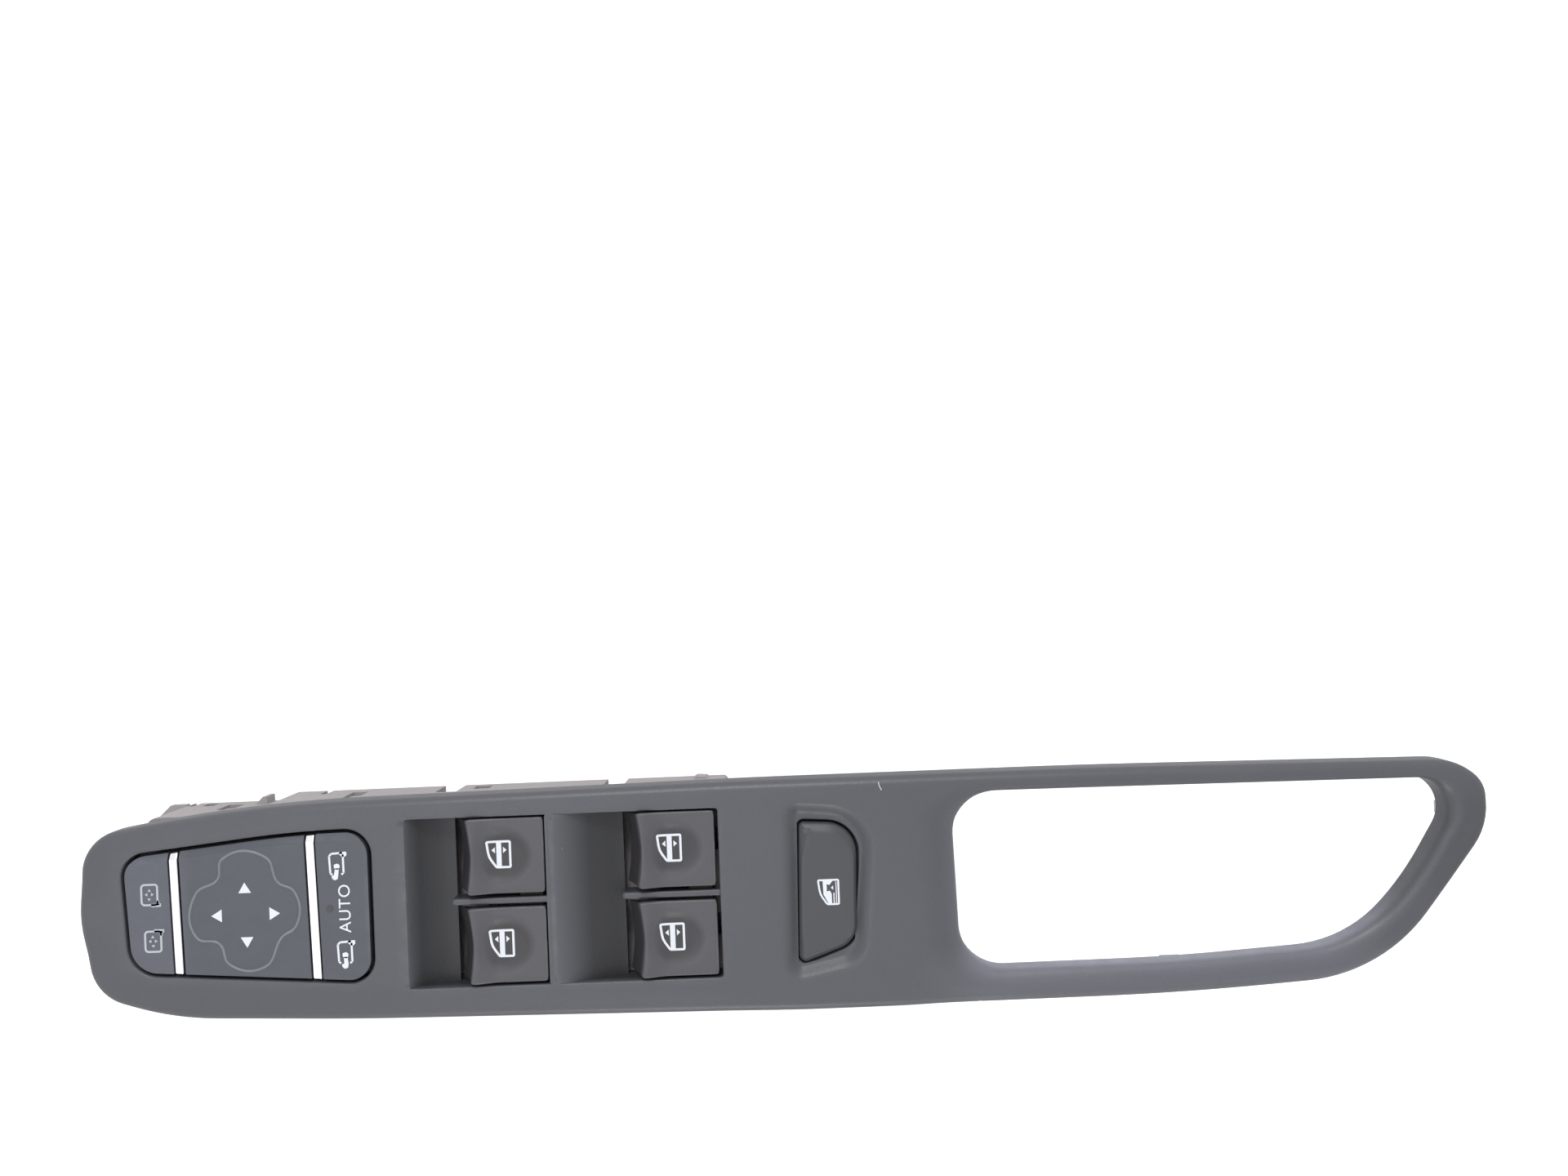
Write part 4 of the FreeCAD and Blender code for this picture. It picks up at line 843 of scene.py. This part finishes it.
def rocker_top(u, v):
    """Height of a rocker's top over its pivot, with the shallow finger dish."""
    lip = 1.35 * smoothstep(-9.0, -16.6, u)
    crown = 0.25 * (1 - (v / CAP_HALF) ** 2)
    from_dish = np.sqrt(((u + 7.4) / 9.6) ** 2 + (v / 8.4) ** 2)
    return CAP_LEVEL + lip + crown - DISH_DEPTH * (1 - smoothstep(0.55, 1.0, from_dish))


def cap_outline():
    """A rocker's cap from above, its front edge bowed inwards: points, normals and which are in front."""
    across = np.linspace(CAP_HALF, -CAP_HALF, 25)
    bow = CAP_FRONT + 1.1 * (1 - (across / CAP_HALF) ** 2)
    along = np.linspace(CAP_FRONT, CAP_REAR, 21)[1:-1]
    front = list(zip(bow, across))
    near = [(x, -CAP_HALF) for x in along]
    rear = [(CAP_REAR, y) for y in np.linspace(-CAP_HALF, CAP_HALF, 17)]
    far = [(x, CAP_HALF) for x in along[::-1]]
    points = np.array(front + near + rear + far)
    following = np.roll(points, -1, axis=0) - np.roll(points, 1, axis=0)
    out = np.stack([following[:, 1], -following[:, 0]], axis=1)
    out /= np.linalg.norm(out, axis=1)[:, None]
    return points, out, (np.arange(len(points)) < len(front)).astype(float)


def make_rocker_cap(name, pivot_x, row_y):
    """A window rocker's cap: lip in front, dished top and skirt. Also gives the height of its top."""
    place = np.array([pivot_x, row_y])
    skin = Skin()
    outline, out, is_front = cap_outline()
    rounding = 0.5 + 0.25 * is_front
    corner = np.abs(np.abs(out[:, 0]) - np.abs(out[:, 1])) < 0.5
    inset = out * np.where(corner, 1.35, 1.0)[:, None]
    start = outline - inset * np.where(corner, 0.22, 0.0)[:, None]
    crest = start - inset * rounding[:, None]
    level = PIVOT_LEVEL + rocker_top(crest[:, 0], crest[:, 1])
    rim = []
    for lean, below in quarter_round(5):
        rim.append(skin.ring(start - inset * (rounding * lean)[:, None] + place, level - rounding * below))
    skin.stack(rim)
    edge = level - rounding
    skirt = [rim[0]]
    for share in (0.3, 0.65, 1.0):
        fall = np.where(is_front > 0.5, LIP_LEVEL, SKIRT_LEVEL)
        lean = is_front * -3.7 * share ** 1.2
        narrow = 1 - is_front * 0.06 * share
        flat = np.stack([start[:, 0] + lean, start[:, 1] * narrow], axis=1)
        skirt.append(skin.ring(flat + place, edge + (fall - edge) * share))
    skirt.append(skin.ring(start * 0.9 + place - [0.4, 0.0], SKIRT_LEVEL))
    skin.stack(skirt[::-1])
    skin.faces.append(tuple(skirt[-1][::-1]))

    def top(x, y):
        return PIVOT_LEVEL + rocker_top(x - pivot_x, y - row_y)

    skin.fill(rim[-1], [], top, spacing=0.8, keep_off=0.45)
    return skin.finish(name + "_cap", 40), top


def make_rocker_carrier(name, pivot_x, row_y):
    """What carries a rocker's cap: core, pin and the two legs that press the switch mat."""
    skin = Skin()
    core = [(-9.0, 3.1), (3.8, 3.1), (3.8, -6.0), (-9.0, -6.0)]
    skin.slab("y", [(pivot_x + x, PIVOT_LEVEL + z) for x, z in core], row_y - 7.6, row_y + 7.6)
    for way in (-1, 1):
        skin.prism(small_block(pivot_x + 2.2 * way, row_y, 1.0, 2.0), TIP_LEVEL, PIVOT_LEVEL - 5.9)
    skin.slab("y", round_bar(pivot_x, PIVOT_LEVEL, 1.55), row_y - 9.7, row_y + 9.7)
    return round_edges(skin.finish(name + "_carrier"), 0.25, 2)


# Symbols


def closed_stroke(points, width):
    """Quads of a closed line of a given width."""
    points = np.array(points, float)
    before = points - np.roll(points, 1, axis=0)
    after = np.roll(points, -1, axis=0) - points
    before /= np.linalg.norm(before, axis=1)[:, None]
    after /= np.linalg.norm(after, axis=1)[:, None]
    first = np.stack([before[:, 1], -before[:, 0]], axis=1)
    second = np.stack([after[:, 1], -after[:, 0]], axis=1)
    middle = first + second
    middle /= np.sum(first * middle, axis=1)[:, None]
    outer = points + middle * width / 2
    inner = points - middle * width / 2
    return list(np.stack([outer, inner, np.roll(inner, -1, axis=0), np.roll(outer, -1, axis=0)], axis=1))


def open_stroke(points, width):
    """Quads of an open line."""
    points = np.array(points, float)
    quads = []
    for start, end in zip(points, points[1:]):
        along = (end - start) / np.linalg.norm(end - start)
        side = np.array([along[1], -along[0]]) * width / 2
        quads.append([start + side, start - side, end - side, end + side])
    return quads


def rounded_line(corners):
    """Points of a small rounded outline."""
    return sample_outline(corners, side_step=1.2, arc_step=20)[0]


# How far a symbol stands out of the surface that it is printed on, and reaches into it
PAINT_DEPTH = 0.05


def paint_symbol(name, faces, x, y, height, body, slot, material):
    """Thin printed symbol on a surface: faces are flat outlines around its middle."""
    skin = Skin()
    for face in faces:
        flat = np.array(face) + [x, y]
        level = np.array([float(height(*spot)) for spot in flat])
        skin.prism(flat, level - PAINT_DEPTH, level + PAINT_DEPTH)
    return put_on(skin.finish(name), body, material)


def triangle(x, y, width, height, angle):
    """An arrow head around a point, pointing at an angle."""
    way = math.radians(angle)
    ahead = np.array([math.cos(way), math.sin(way)]) * height * 0.5
    side = np.array([-math.sin(way), math.cos(way)]) * width / 2
    middle = np.array([x, y])
    return [middle + ahead, middle - ahead + side, middle - ahead - side]


# Outlines of the printed symbols around their middles: x, y and radius of each corner
WINDOW = [(-3.2, 3.55, 0.3), (3.2, 3.55, 0.3), (3.2, -3.55, 0.3), (-0.7, -3.55, 0.8), (-2.7, -0.6, 5.0)]
PANE = [(-2.8, 3.35, 0.3), (2.8, 3.35, 0.3), (2.8, -3.35, 0.3), (-0.4, -3.35, 0.8), (-2.3, -0.6, 5.0)]
MIRROR = [(-2.3, -2.8, 0.9), (2.1, -2.8, 0.7), (2.1, 2.8, 0.7), (-2.3, 2.8, 0.9)]


def window_symbol():
    """Window outline with a middle bar and two small arrow heads."""
    faces = closed_stroke(rounded_line(WINDOW), 0.62)
    faces.append([(-0.6, -3.3), (0.8, -3.3), (0.8, 3.3), (-0.6, 3.3)])
    faces.append(triangle(-1.45, 1.2, 1.7, 0.95, 180))
    faces.append(triangle(1.75, 1.2, 1.7, 0.95, 0))
    return faces


def lock_symbol():
    """Window outline with a pale pane that a dark cross divides."""
    faces = closed_stroke(rounded_line(PANE), 0.5)
    faces.append([(-1.5, 3.1), (-0.5, 2.2), (-0.4, 1.2), (-0.5, 0.2), (-1.4, -0.6)])
    faces.append([(-1.5, 3.1), (1.2, 3.1), (0.35, 2.0), (-0.5, 2.2)])
    faces.append([(-0.5, 0.2), (0.35, 0.4), (0.9, -0.5), (0.9, -3.1), (-0.1, -3.1), (-1.4, -0.6)])
    faces.append([(0.65, 1.2), (1.35, 1.75), (1.35, 0.65)])
    faces += open_stroke([(1.5, -0.2), (1.5, -3.1)], 0.3)
    faces += open_stroke([(2.15, 2.9), (2.15, -3.1)], 0.25)
    return faces


def mirror_symbol(side):
    """Mirror outline with four small arrow heads and a foot, on the near side (-1) or the far side (1)."""
    faces = closed_stroke(rounded_line(MIRROR), 0.55)
    heads = [(-0.2, 1.35 * side, 90 * side), (-0.1, -1.3 * side, -90 * side)]
    for x, y, angle in heads + [(-1.0, 0.1, 180), (0.75, 0.1, 0)]:
        faces.append(triangle(x, y, 0.95, 0.75, angle))
    faces += open_stroke([(0.3, side * 2.95), (3.0, side * 2.85)], 0.95)
    faces += open_stroke([(2.2, side * 2.9), (2.15, side * 1.6)], 0.8)
    return faces


def fold_symbol(lean):
    """Mirror outline, open below, with a thick arrow that folds down out of it."""
    faces = open_stroke([(-1.35, -2.95), (-1.85, -2.5), (-2.05, 2.2), (-1.4, 2.85), (1.6, 3.0)], 0.55)
    faces += open_stroke([(1.75, 2.6), (1.8, -2.5), (1.2, -2.95)], 0.55)
    faces.append([(0.6, 2.7), (1.5, 1.9), (2.3, 1.9), (2.8, 2.4), (2.7, 3.3), (0.9, 3.25)])
    knob = [(-0.8, -0.2), (0.1, 0.1), (0.75, -0.3), (0.75, -1.0), (0.35, -1.6), (-0.5, -1.5), (-0.85, -0.9)]
    faces.append(knob)
    foot = -0.45 * lean
    tip = [(0.75, -3.2), (0.55, -4.2), (-0.3, -4.5), (-0.95, -4.0), (-1.1, -3.2), (-0.45, -3.1)]
    faces.append([(-0.5, -1.2), (0.5, -1.2)] + [(foot + x, y) for x, y in tip])
    return faces


# The arrows of the mirror pad: x, y and the angle that they point at
ARROWS = {
    "up": (-149.0, 7.8, 90),
    "down": (-148.8, -7.3, 270),
    "left": (-157.0, 0.3, 180),
    "right": (-140.9, 0.4, 0),
}
# A pale scratch on the panel, and the middle of the word AUTO
SCRATCH = [(26.9, 30.3), (27.1, 29.2), (27.7, 28.0)]
LETTERS_PLACE = (-121.4, 1.05)


def key_top(x, y):
    """Height of the mirror keys' flat tops."""
    return PANEL_TOP


def button_top(x, y):
    """Height of the lock button's flat top."""
    return LOCK_TOP


def add_symbols():
    """The printed symbols of the keys and the lock button, the word beside them, and a pale scratch."""
    paint_symbol("lock_symbol", lock_symbol(), 12.0, 0.3, button_top, "lock_button", "button_plastic", PAINT)
    for name, place in ARROWS.items():
        x, y, angle = place
        head = triangle(x, y, 3.5, 2.9, angle)
        paint_symbol(f"arrow_{name}", [head], 0, 0, key_top, "mirror_pad", KEY_PLASTIC, PAINT)
    for name, shape, x, y, key, paint in (
        ("mirror_symbol_far", mirror_symbol(-1), -175.2, 6.8, "mirror_select_key", DIM_PAINT),
        ("mirror_symbol_near", mirror_symbol(1), -174.6, -6.1, "mirror_select_key", DIM_PAINT),
        ("fold_symbol_far", fold_symbol(1), -123.3, 13.4, "mirror_fold_key", PAINT),
        ("fold_symbol_near", fold_symbol(0), -121.8, -11.1, "mirror_fold_key", PAINT),
    ):
        paint_symbol(name, shape, x, y, key_top, key, KEY_PLASTIC, paint)
    paint_symbol("scratch_far", open_stroke(SCRATCH, 0.24), 0, 0, panel_height, "base", PANEL_PLASTIC, SCUFF)
    letters = bpy.data.curves.new("auto_lettering", "FONT")
    letters.body = "AUTO"
    letters.size = 4.6 * MM
    letters.align_x = "CENTER"
    letters.align_y = "CENTER"
    letters.extrude = PAINT_DEPTH * MM
    letters.space_character = 1.08
    word = mesh_of_curve("auto_lettering", letters)
    for corner in word.data.vertices:
        x, y, z = corner.co
        corner.co = (LETTERS_PLACE[0] * MM - y, LETTERS_PLACE[1] * MM + x, PANEL_TOP * MM + z)
    put_on(word, "mirror_fold_key", PAINT)


# Mirror keys, strips and the lock button


# Middles of the chrome strips at their far and near ends, and where along y those are
STRIPS = {"front": (-168.6, -167.8), "rear": (-130.6, -129.8)}
STRIP_FAR_Y = 17.6
STRIP_NEAR_Y = -14.8
STRIP_BOTTOM = 33.4
STRIP_TOP = PANEL_TOP + 0.15
HALF_STRIP = 1.2
# How far the keys and the pad stay from a strip's middle
KEY_GAP = HALF_STRIP + 0.35
PAD_GAP = HALF_STRIP + 0.45
# The keys' lower side, their gap to the module's outline, and the width of their far bevel
KEY_BOTTOM = 33.0
KEY_INSET = 0.2
FAR_BEVEL = 2.3
FAR_CORNERS = np.array(MODULE_OUTLINE[:3])


def strip_x(strip, y):
    """Middle of a chrome strip at a given y."""
    far_x, near_x = STRIPS[strip]
    return far_x + (near_x - far_x) * (STRIP_FAR_Y - y) / (STRIP_FAR_Y - STRIP_NEAR_Y)


def clipped(points, strip, offset, keep_right):
    """The part of a closed outline on one side of a line beside a chrome strip."""
    result = []
    sign = 1 if keep_right else -1
    sides = [sign * (x - strip_x(strip, y) - offset) for x, y in points]
    for index, point in enumerate(points):
        before, side = sides[index - 1], sides[index]
        if before * side < 0:
            share = before / (before - side)
            result.append(points[index - 1] + (point - points[index - 1]) * share)
        if side >= 0:
            result.append(point)
    return np.array(result)


def far_edge_line(x):
    """y of the module's far edge at x, without its corner rounds."""
    return np.interp(x, FAR_CORNERS[:, 0], FAR_CORNERS[:, 1])


def make_key(name, sides, bottom, top, bevel_drop=1.0, edge=0.45):
    """A key plate cut from the module's outline, with a lowered far bevel and rounded edges."""
    outline, out = sample_outline(MODULE_OUTLINE, side_step=2.0)
    outline = outline - out * KEY_INSET
    for strip, offset, keep_right in sides:
        outline = clipped(outline, strip, offset, keep_right)
    skin = Skin()
    skin.prism(outline, bottom, top)
    key = skin.finish(name)
    shape = bmesh.new()
    shape.from_mesh(key.data)
    for start, end in zip(FAR_CORNERS[:, :2], FAR_CORNERS[1:, :2]):
        along = (end - start) / np.linalg.norm(end - start)
        place = (start[0] * MM, (start[1] - FAR_BEVEL) * MM, 0)
        across = (-along[1], along[0], 0)
        parts = shape.verts[:] + shape.edges[:] + shape.faces[:]
        bmesh.ops.bisect_plane(shape, geom=parts, plane_co=place, plane_no=across, dist=1e-7)
    for corner in shape.verts:
        beyond = corner.co.y / MM - (far_edge_line(corner.co.x / MM) - FAR_BEVEL)
        if corner.co.z > (top - 0.01) * MM and beyond > 0:
            corner.co.z -= bevel_drop * min(beyond / FAR_BEVEL, 1.2) * MM
    shape.to_mesh(key.data)
    shape.free()
    shade(key, 20)
    return round_edges(key, edge, 3, 12)


KEY_UNDERSIDE = 33.9
# The outer keys: their middles, and how far the plungers stand from them
KEY_AXES = {"mirror_select_key": (-175.5, 0.6, 8.0), "mirror_fold_key": (-122.0, 1.0, 12.5)}
PAD_CENTRE = (-148.9, 0.3)


def make_key_works(name):
    """What hangs under a mirror key: plungers, and cheeks with a pin or ears with pins."""
    skin = Skin()
    root = KEY_UNDERSIDE + 0.2
    if name == "mirror_pad":
        # The pad's plungers end higher, so that they clear the switch mat when both axes are at their ends
        tip = TIP_LEVEL + 0.3
        x, y = PAD_CENTRE
        plungers = [(x - 14.2, y), (x + 14.2, y), (x, y - 13.5), (x, y + 13.5)]
        for middle in (y - 4.2, y + 4.2):
            skin.prism(small_block(x, middle, 2.6, 1.0), PIVOT_LEVEL - 1.8, root)
        for start, end in ((-7.8, -3.2), (3.2, 7.8)):
            skin.slab("y", round_bar(x, PIVOT_LEVEL, 1.1), y + start, y + end)
    else:
        tip = TIP_LEVEL
        x, y, reach = KEY_AXES[name]
        plungers = [(x, y - reach), (x, y + reach)]
        for middle in (x - 2.3, x + 2.3):
            skin.prism(small_block(middle, y, 0.8, 2.2), PIVOT_LEVEL - 2.0, root)
        skin.slab("x", round_bar(y, PIVOT_LEVEL, 1.2), x - 1.8, x + 1.8)
    for place in plungers:
        skin.prism(small_block(*place, 1.3, 1.3), tip, root)
    return round_edges(skin.finish(name + "_works"), 0.2, 2)


# Places along the raised line
RIDGE_MARKS = [
    (-154.89, 15.95), (-142.9, 15.95), (-139.82, 9.0), (-135.26, 6.13), (-135.06, -3.09), (-139.23, -6.26),
    (-144.09, -14.2), (-153.8, -13.3), (-156.48, -7.45), (-162.73, -5.47), (-162.53, 6.63), (-156.38, 10.39),
]


def make_pad_ridge():
    """The raised cross-shaped line on the mirror pad."""
    line = bpy.data.curves.new("pad_ridge_line", "CURVE")
    line.dimensions = "3D"
    line.bevel_depth = 0.42 * MM
    line.bevel_resolution = 2
    spline = line.splines.new("BEZIER")
    spline.bezier_points.add(len(RIDGE_MARKS) - 1)
    for point, (x, y) in zip(spline.bezier_points, RIDGE_MARKS):
        point.co = (x * MM, y * MM, (PANEL_TOP - 0.2) * MM)
        point.handle_left_type = "AUTO"
        point.handle_right_type = "AUTO"
    spline.use_cyclic_u = True
    spline.resolution_u = 8
    ridge = mesh_of_curve("pad_ridge", line)
    shade(ridge, 60)
    return ridge


# Section of the lock button's bevel: share of its width, and drop
BUTTON_BEVEL = [(0.0, 1.35), (0.06, 1.05), (0.2, 0.8), (0.6, 0.36), (0.85, 0.10), (1.0, 0.02), (1.25, 0.0)]


def make_lock_button():
    """Cap of the lock button: a flat top with soft bevels, wide at its far end."""
    outline, out = sample_outline(LOCK_OUTLINE, side_step=1.5, arc_step=8)
    far = smoothstep(8, 17, outline[:, 1])
    near = smoothstep(-8, -15, outline[:, 1])
    width = 0.9 + 1.7 * far + 0.5 * near
    steep = 1 + 0.25 * far + 0.2 * near
    outline = outline - out * 0.1
    skin = Skin()
    rings = [skin.ring(outline, LOCK_FLOOR - 3.0)]
    for share, drop in BUTTON_BEVEL:
        rings.append(skin.ring(outline - out * (width * share)[:, None], LOCK_TOP - drop * steep))
    skin.stack(rings)
    skin.fill(rings[-1], [], lambda x, y: np.full(len(x), LOCK_TOP), keep_off=0.8)
    skin.faces.append(tuple(rings[0][::-1]))
    skin.prism(small_block(12.0, 1.0, 5.0, 9.0, 0.5), 20.4, LOCK_FLOOR - 2.9)
    return skin.finish("lock_cap", 40)


# Making the pieces and putting them on their bodies


# Each rocker's well and row
ROCKERS = {
    "front_right_rocker": ("front", "right"),
    "front_left_rocker": ("front", "left"),
    "rear_right_rocker": ("rear", "right"),
    "rear_left_rocker": ("rear", "left"),
}

panel = put_on(make_panel(), "base", PANEL)
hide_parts("bezel")
put_on(make_panel_posts(), "base", PANEL)
put_on(make_lock_sleeve(), "base", PANEL)
for well in PIVOT_X:
    put_on(make_divider_rib(well), "base", PANEL)

for name, (well, row) in ROCKERS.items():
    cap, top = make_rocker_cap(name, PIVOT_X[well], ROWS[row])
    put_on(cap, name, ROCKER)
    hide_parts(name)
    put_on(make_rocker_carrier(name, PIVOT_X[well], ROWS[row]), name, ROCKER)
    place = (PIVOT_X[well] - 8.2, ROWS[row] + 0.3)
    paint_symbol(name + "_symbol", window_symbol(), *place, top, name, ROCKER_PLASTIC, PAINT)

# The sides that the keys are cut to: a strip, the distance from its middle, and whether the right part stays
KEY_SIDES = {
    "mirror_select_key": [("front", -KEY_GAP, False)],
    "mirror_pad": [("front", PAD_GAP, True), ("rear", -PAD_GAP, False)],
    "mirror_fold_key": [("rear", KEY_GAP, True)],
}
for name, sides in KEY_SIDES.items():
    plate = make_key(name + "_plate", sides, KEY_BOTTOM, PANEL_TOP)
    put_on(plate, name, KEY)
    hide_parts(name)
    put_on(make_key_works(name), name, KEY)
for strip in STRIPS:
    sides = [(strip, -HALF_STRIP, True), (strip, HALF_STRIP, False)]
    bar = make_key(f"chrome_strip_{strip}_bar", sides, STRIP_BOTTOM, STRIP_TOP, bevel_drop=1.3, edge=0.5)
    put_on(bar, "base", CHROME)
    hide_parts(f"chrome_strip_{strip}")
put_on(make_pad_ridge(), "mirror_pad", RIDGE_HIGHLIGHT)
button = put_on(make_lock_button(), "lock_button", BUTTON)
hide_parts("lock_button")
add_symbols()

FINISHES = {
    "switch_housing": HOUSING,
    "base_cover": HOUSING,
    "circuit_board": BOARD,
    "door_connector": CONNECTOR,
    "connector_pins": BRASS,
    "window_dome_mat": SILICONE,
    "mirror_dome_mat": SILICONE,
    "lock_dome_mat": SILICONE,
    "mirror_frame": FRAME,
    "pad_gimbal": FRAME,
    "lock_switch_housing": FRAME,
    "window_light_guide_front": CLEAR,
    "window_light_guide_rear": CLEAR,
    "board_leds": LAMP,
    "module_screws": STEEL,
    "spring_clips": STEEL,
    "fold_indicator_lens": SMOKED,
}
for node, material in FINISHES.items():
    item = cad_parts[node]
    item.data.materials.clear()
    item.data.materials.append(material)

# Floor, light and camera


FLOOR_REACH = 6.0
FLOOR_DROP = 0.0002


def make_floor():
    """A white floor that keeps a faint shadow and looks white to the camera and in reflections."""
    mesh = bpy.data.meshes.new("floor")
    corners = [(x * FLOOR_REACH, y * FLOOR_REACH, 0) for x, y in ((-1, -1), (1, -1), (1, 1), (-1, 1))]
    mesh.from_pydata(corners, [], [(0, 1, 2, 3)])
    floor = add_object("floor", mesh)
    floor.location.z = -FLOOR_DROP
    material = bpy.data.materials.new("floor_paper")
    material.use_nodes = True
    tree = material.node_tree
    shader = tree.nodes["Principled BSDF"]
    shader.inputs["Base Color"].default_value = (0.8, 0.8, 0.8, 1)
    shader.inputs["Roughness"].default_value = 0.9
    shader.inputs["Specular IOR Level"].default_value = 0.0
    path = tree.nodes.new("ShaderNodeLightPath")
    glow = tree.nodes.new("ShaderNodeEmission")
    tree.links.new(mapped(tree, path.outputs["Is Camera Ray"], 0.0, 1.0, 0.0, 0.6), glow.inputs["Strength"])
    both = tree.nodes.new("ShaderNodeAddShader")
    tree.links.new(shader.outputs[0], both.inputs[0])
    tree.links.new(glow.outputs[0], both.inputs[1])
    tree.links.new(both.outputs[0], tree.nodes["Material Output"].inputs["Surface"])
    mesh.materials.append(material)


def area_light(name, place, size, power):
    """A square soft light that points at the middle of the frame."""
    lamp = bpy.data.lights.new(name, "AREA")
    lamp.size = size
    lamp.energy = power
    item = add_object(name, lamp)
    item.location = place
    item.rotation_euler = (-Vector(place)).to_track_quat("-Z", "Y").to_euler()


# Strength of the surroundings' light at the horizon and overhead
HORIZON = 1.5
ZENITH = 0.22


def make_world():
    """Even pale surroundings that are white to the camera and in reflections."""
    world = bpy.data.worlds.new("studio")
    world.use_nodes = True
    tree = world.node_tree
    back = tree.nodes["Background"]
    path = tree.nodes.new("ShaderNodeLightPath")
    place = tree.nodes.new("ShaderNodeTexCoord")
    parts = tree.nodes.new("ShaderNodeSeparateXYZ")
    tree.links.new(place.outputs["Generated"], parts.inputs[0])
    back.inputs["Color"].default_value = (1, 1, 1, 1)
    around = mapped(tree, parts.outputs["Z"], 0.0, 1.0, HORIZON, ZENITH)
    seen = path.outputs["Is Camera Ray"]
    for ray in ("Is Glossy Ray", "Is Transmission Ray"):
        seen = math_node(tree, "MAXIMUM", seen, path.outputs[ray])
    tree.links.new(mapped(tree, seen, 0.0, 1.0, around, 1.0), back.inputs["Strength"])
    bpy.context.scene.world = world


make_floor()
make_world()
area_light("window_light", (-0.1, 0.8, 0.75), 0.3, 4.2)
area_light("near_light", (-0.1, -0.9, 0.5), 0.3, 2.2)
area_light("ceiling_light", (-0.45, 0.0, 1.3), 0.9, 2.6)

camera_data = bpy.data.cameras.new("camera")
camera_data.sensor_width = 36.0
camera_data.lens = 29.12
camera_data.clip_start = 0.01
camera_data.clip_end = 50
# It looks straight down, slightly turned
camera = add_object("camera", camera_data)
camera.location = (2.95 * MM, 84.75 * MM, 386 * MM)
camera.rotation_euler = (0, 0, math.radians(-2.2))
bpy.context.scene.camera = camera
bpy.context.scene.view_settings.view_transform = "Standard"
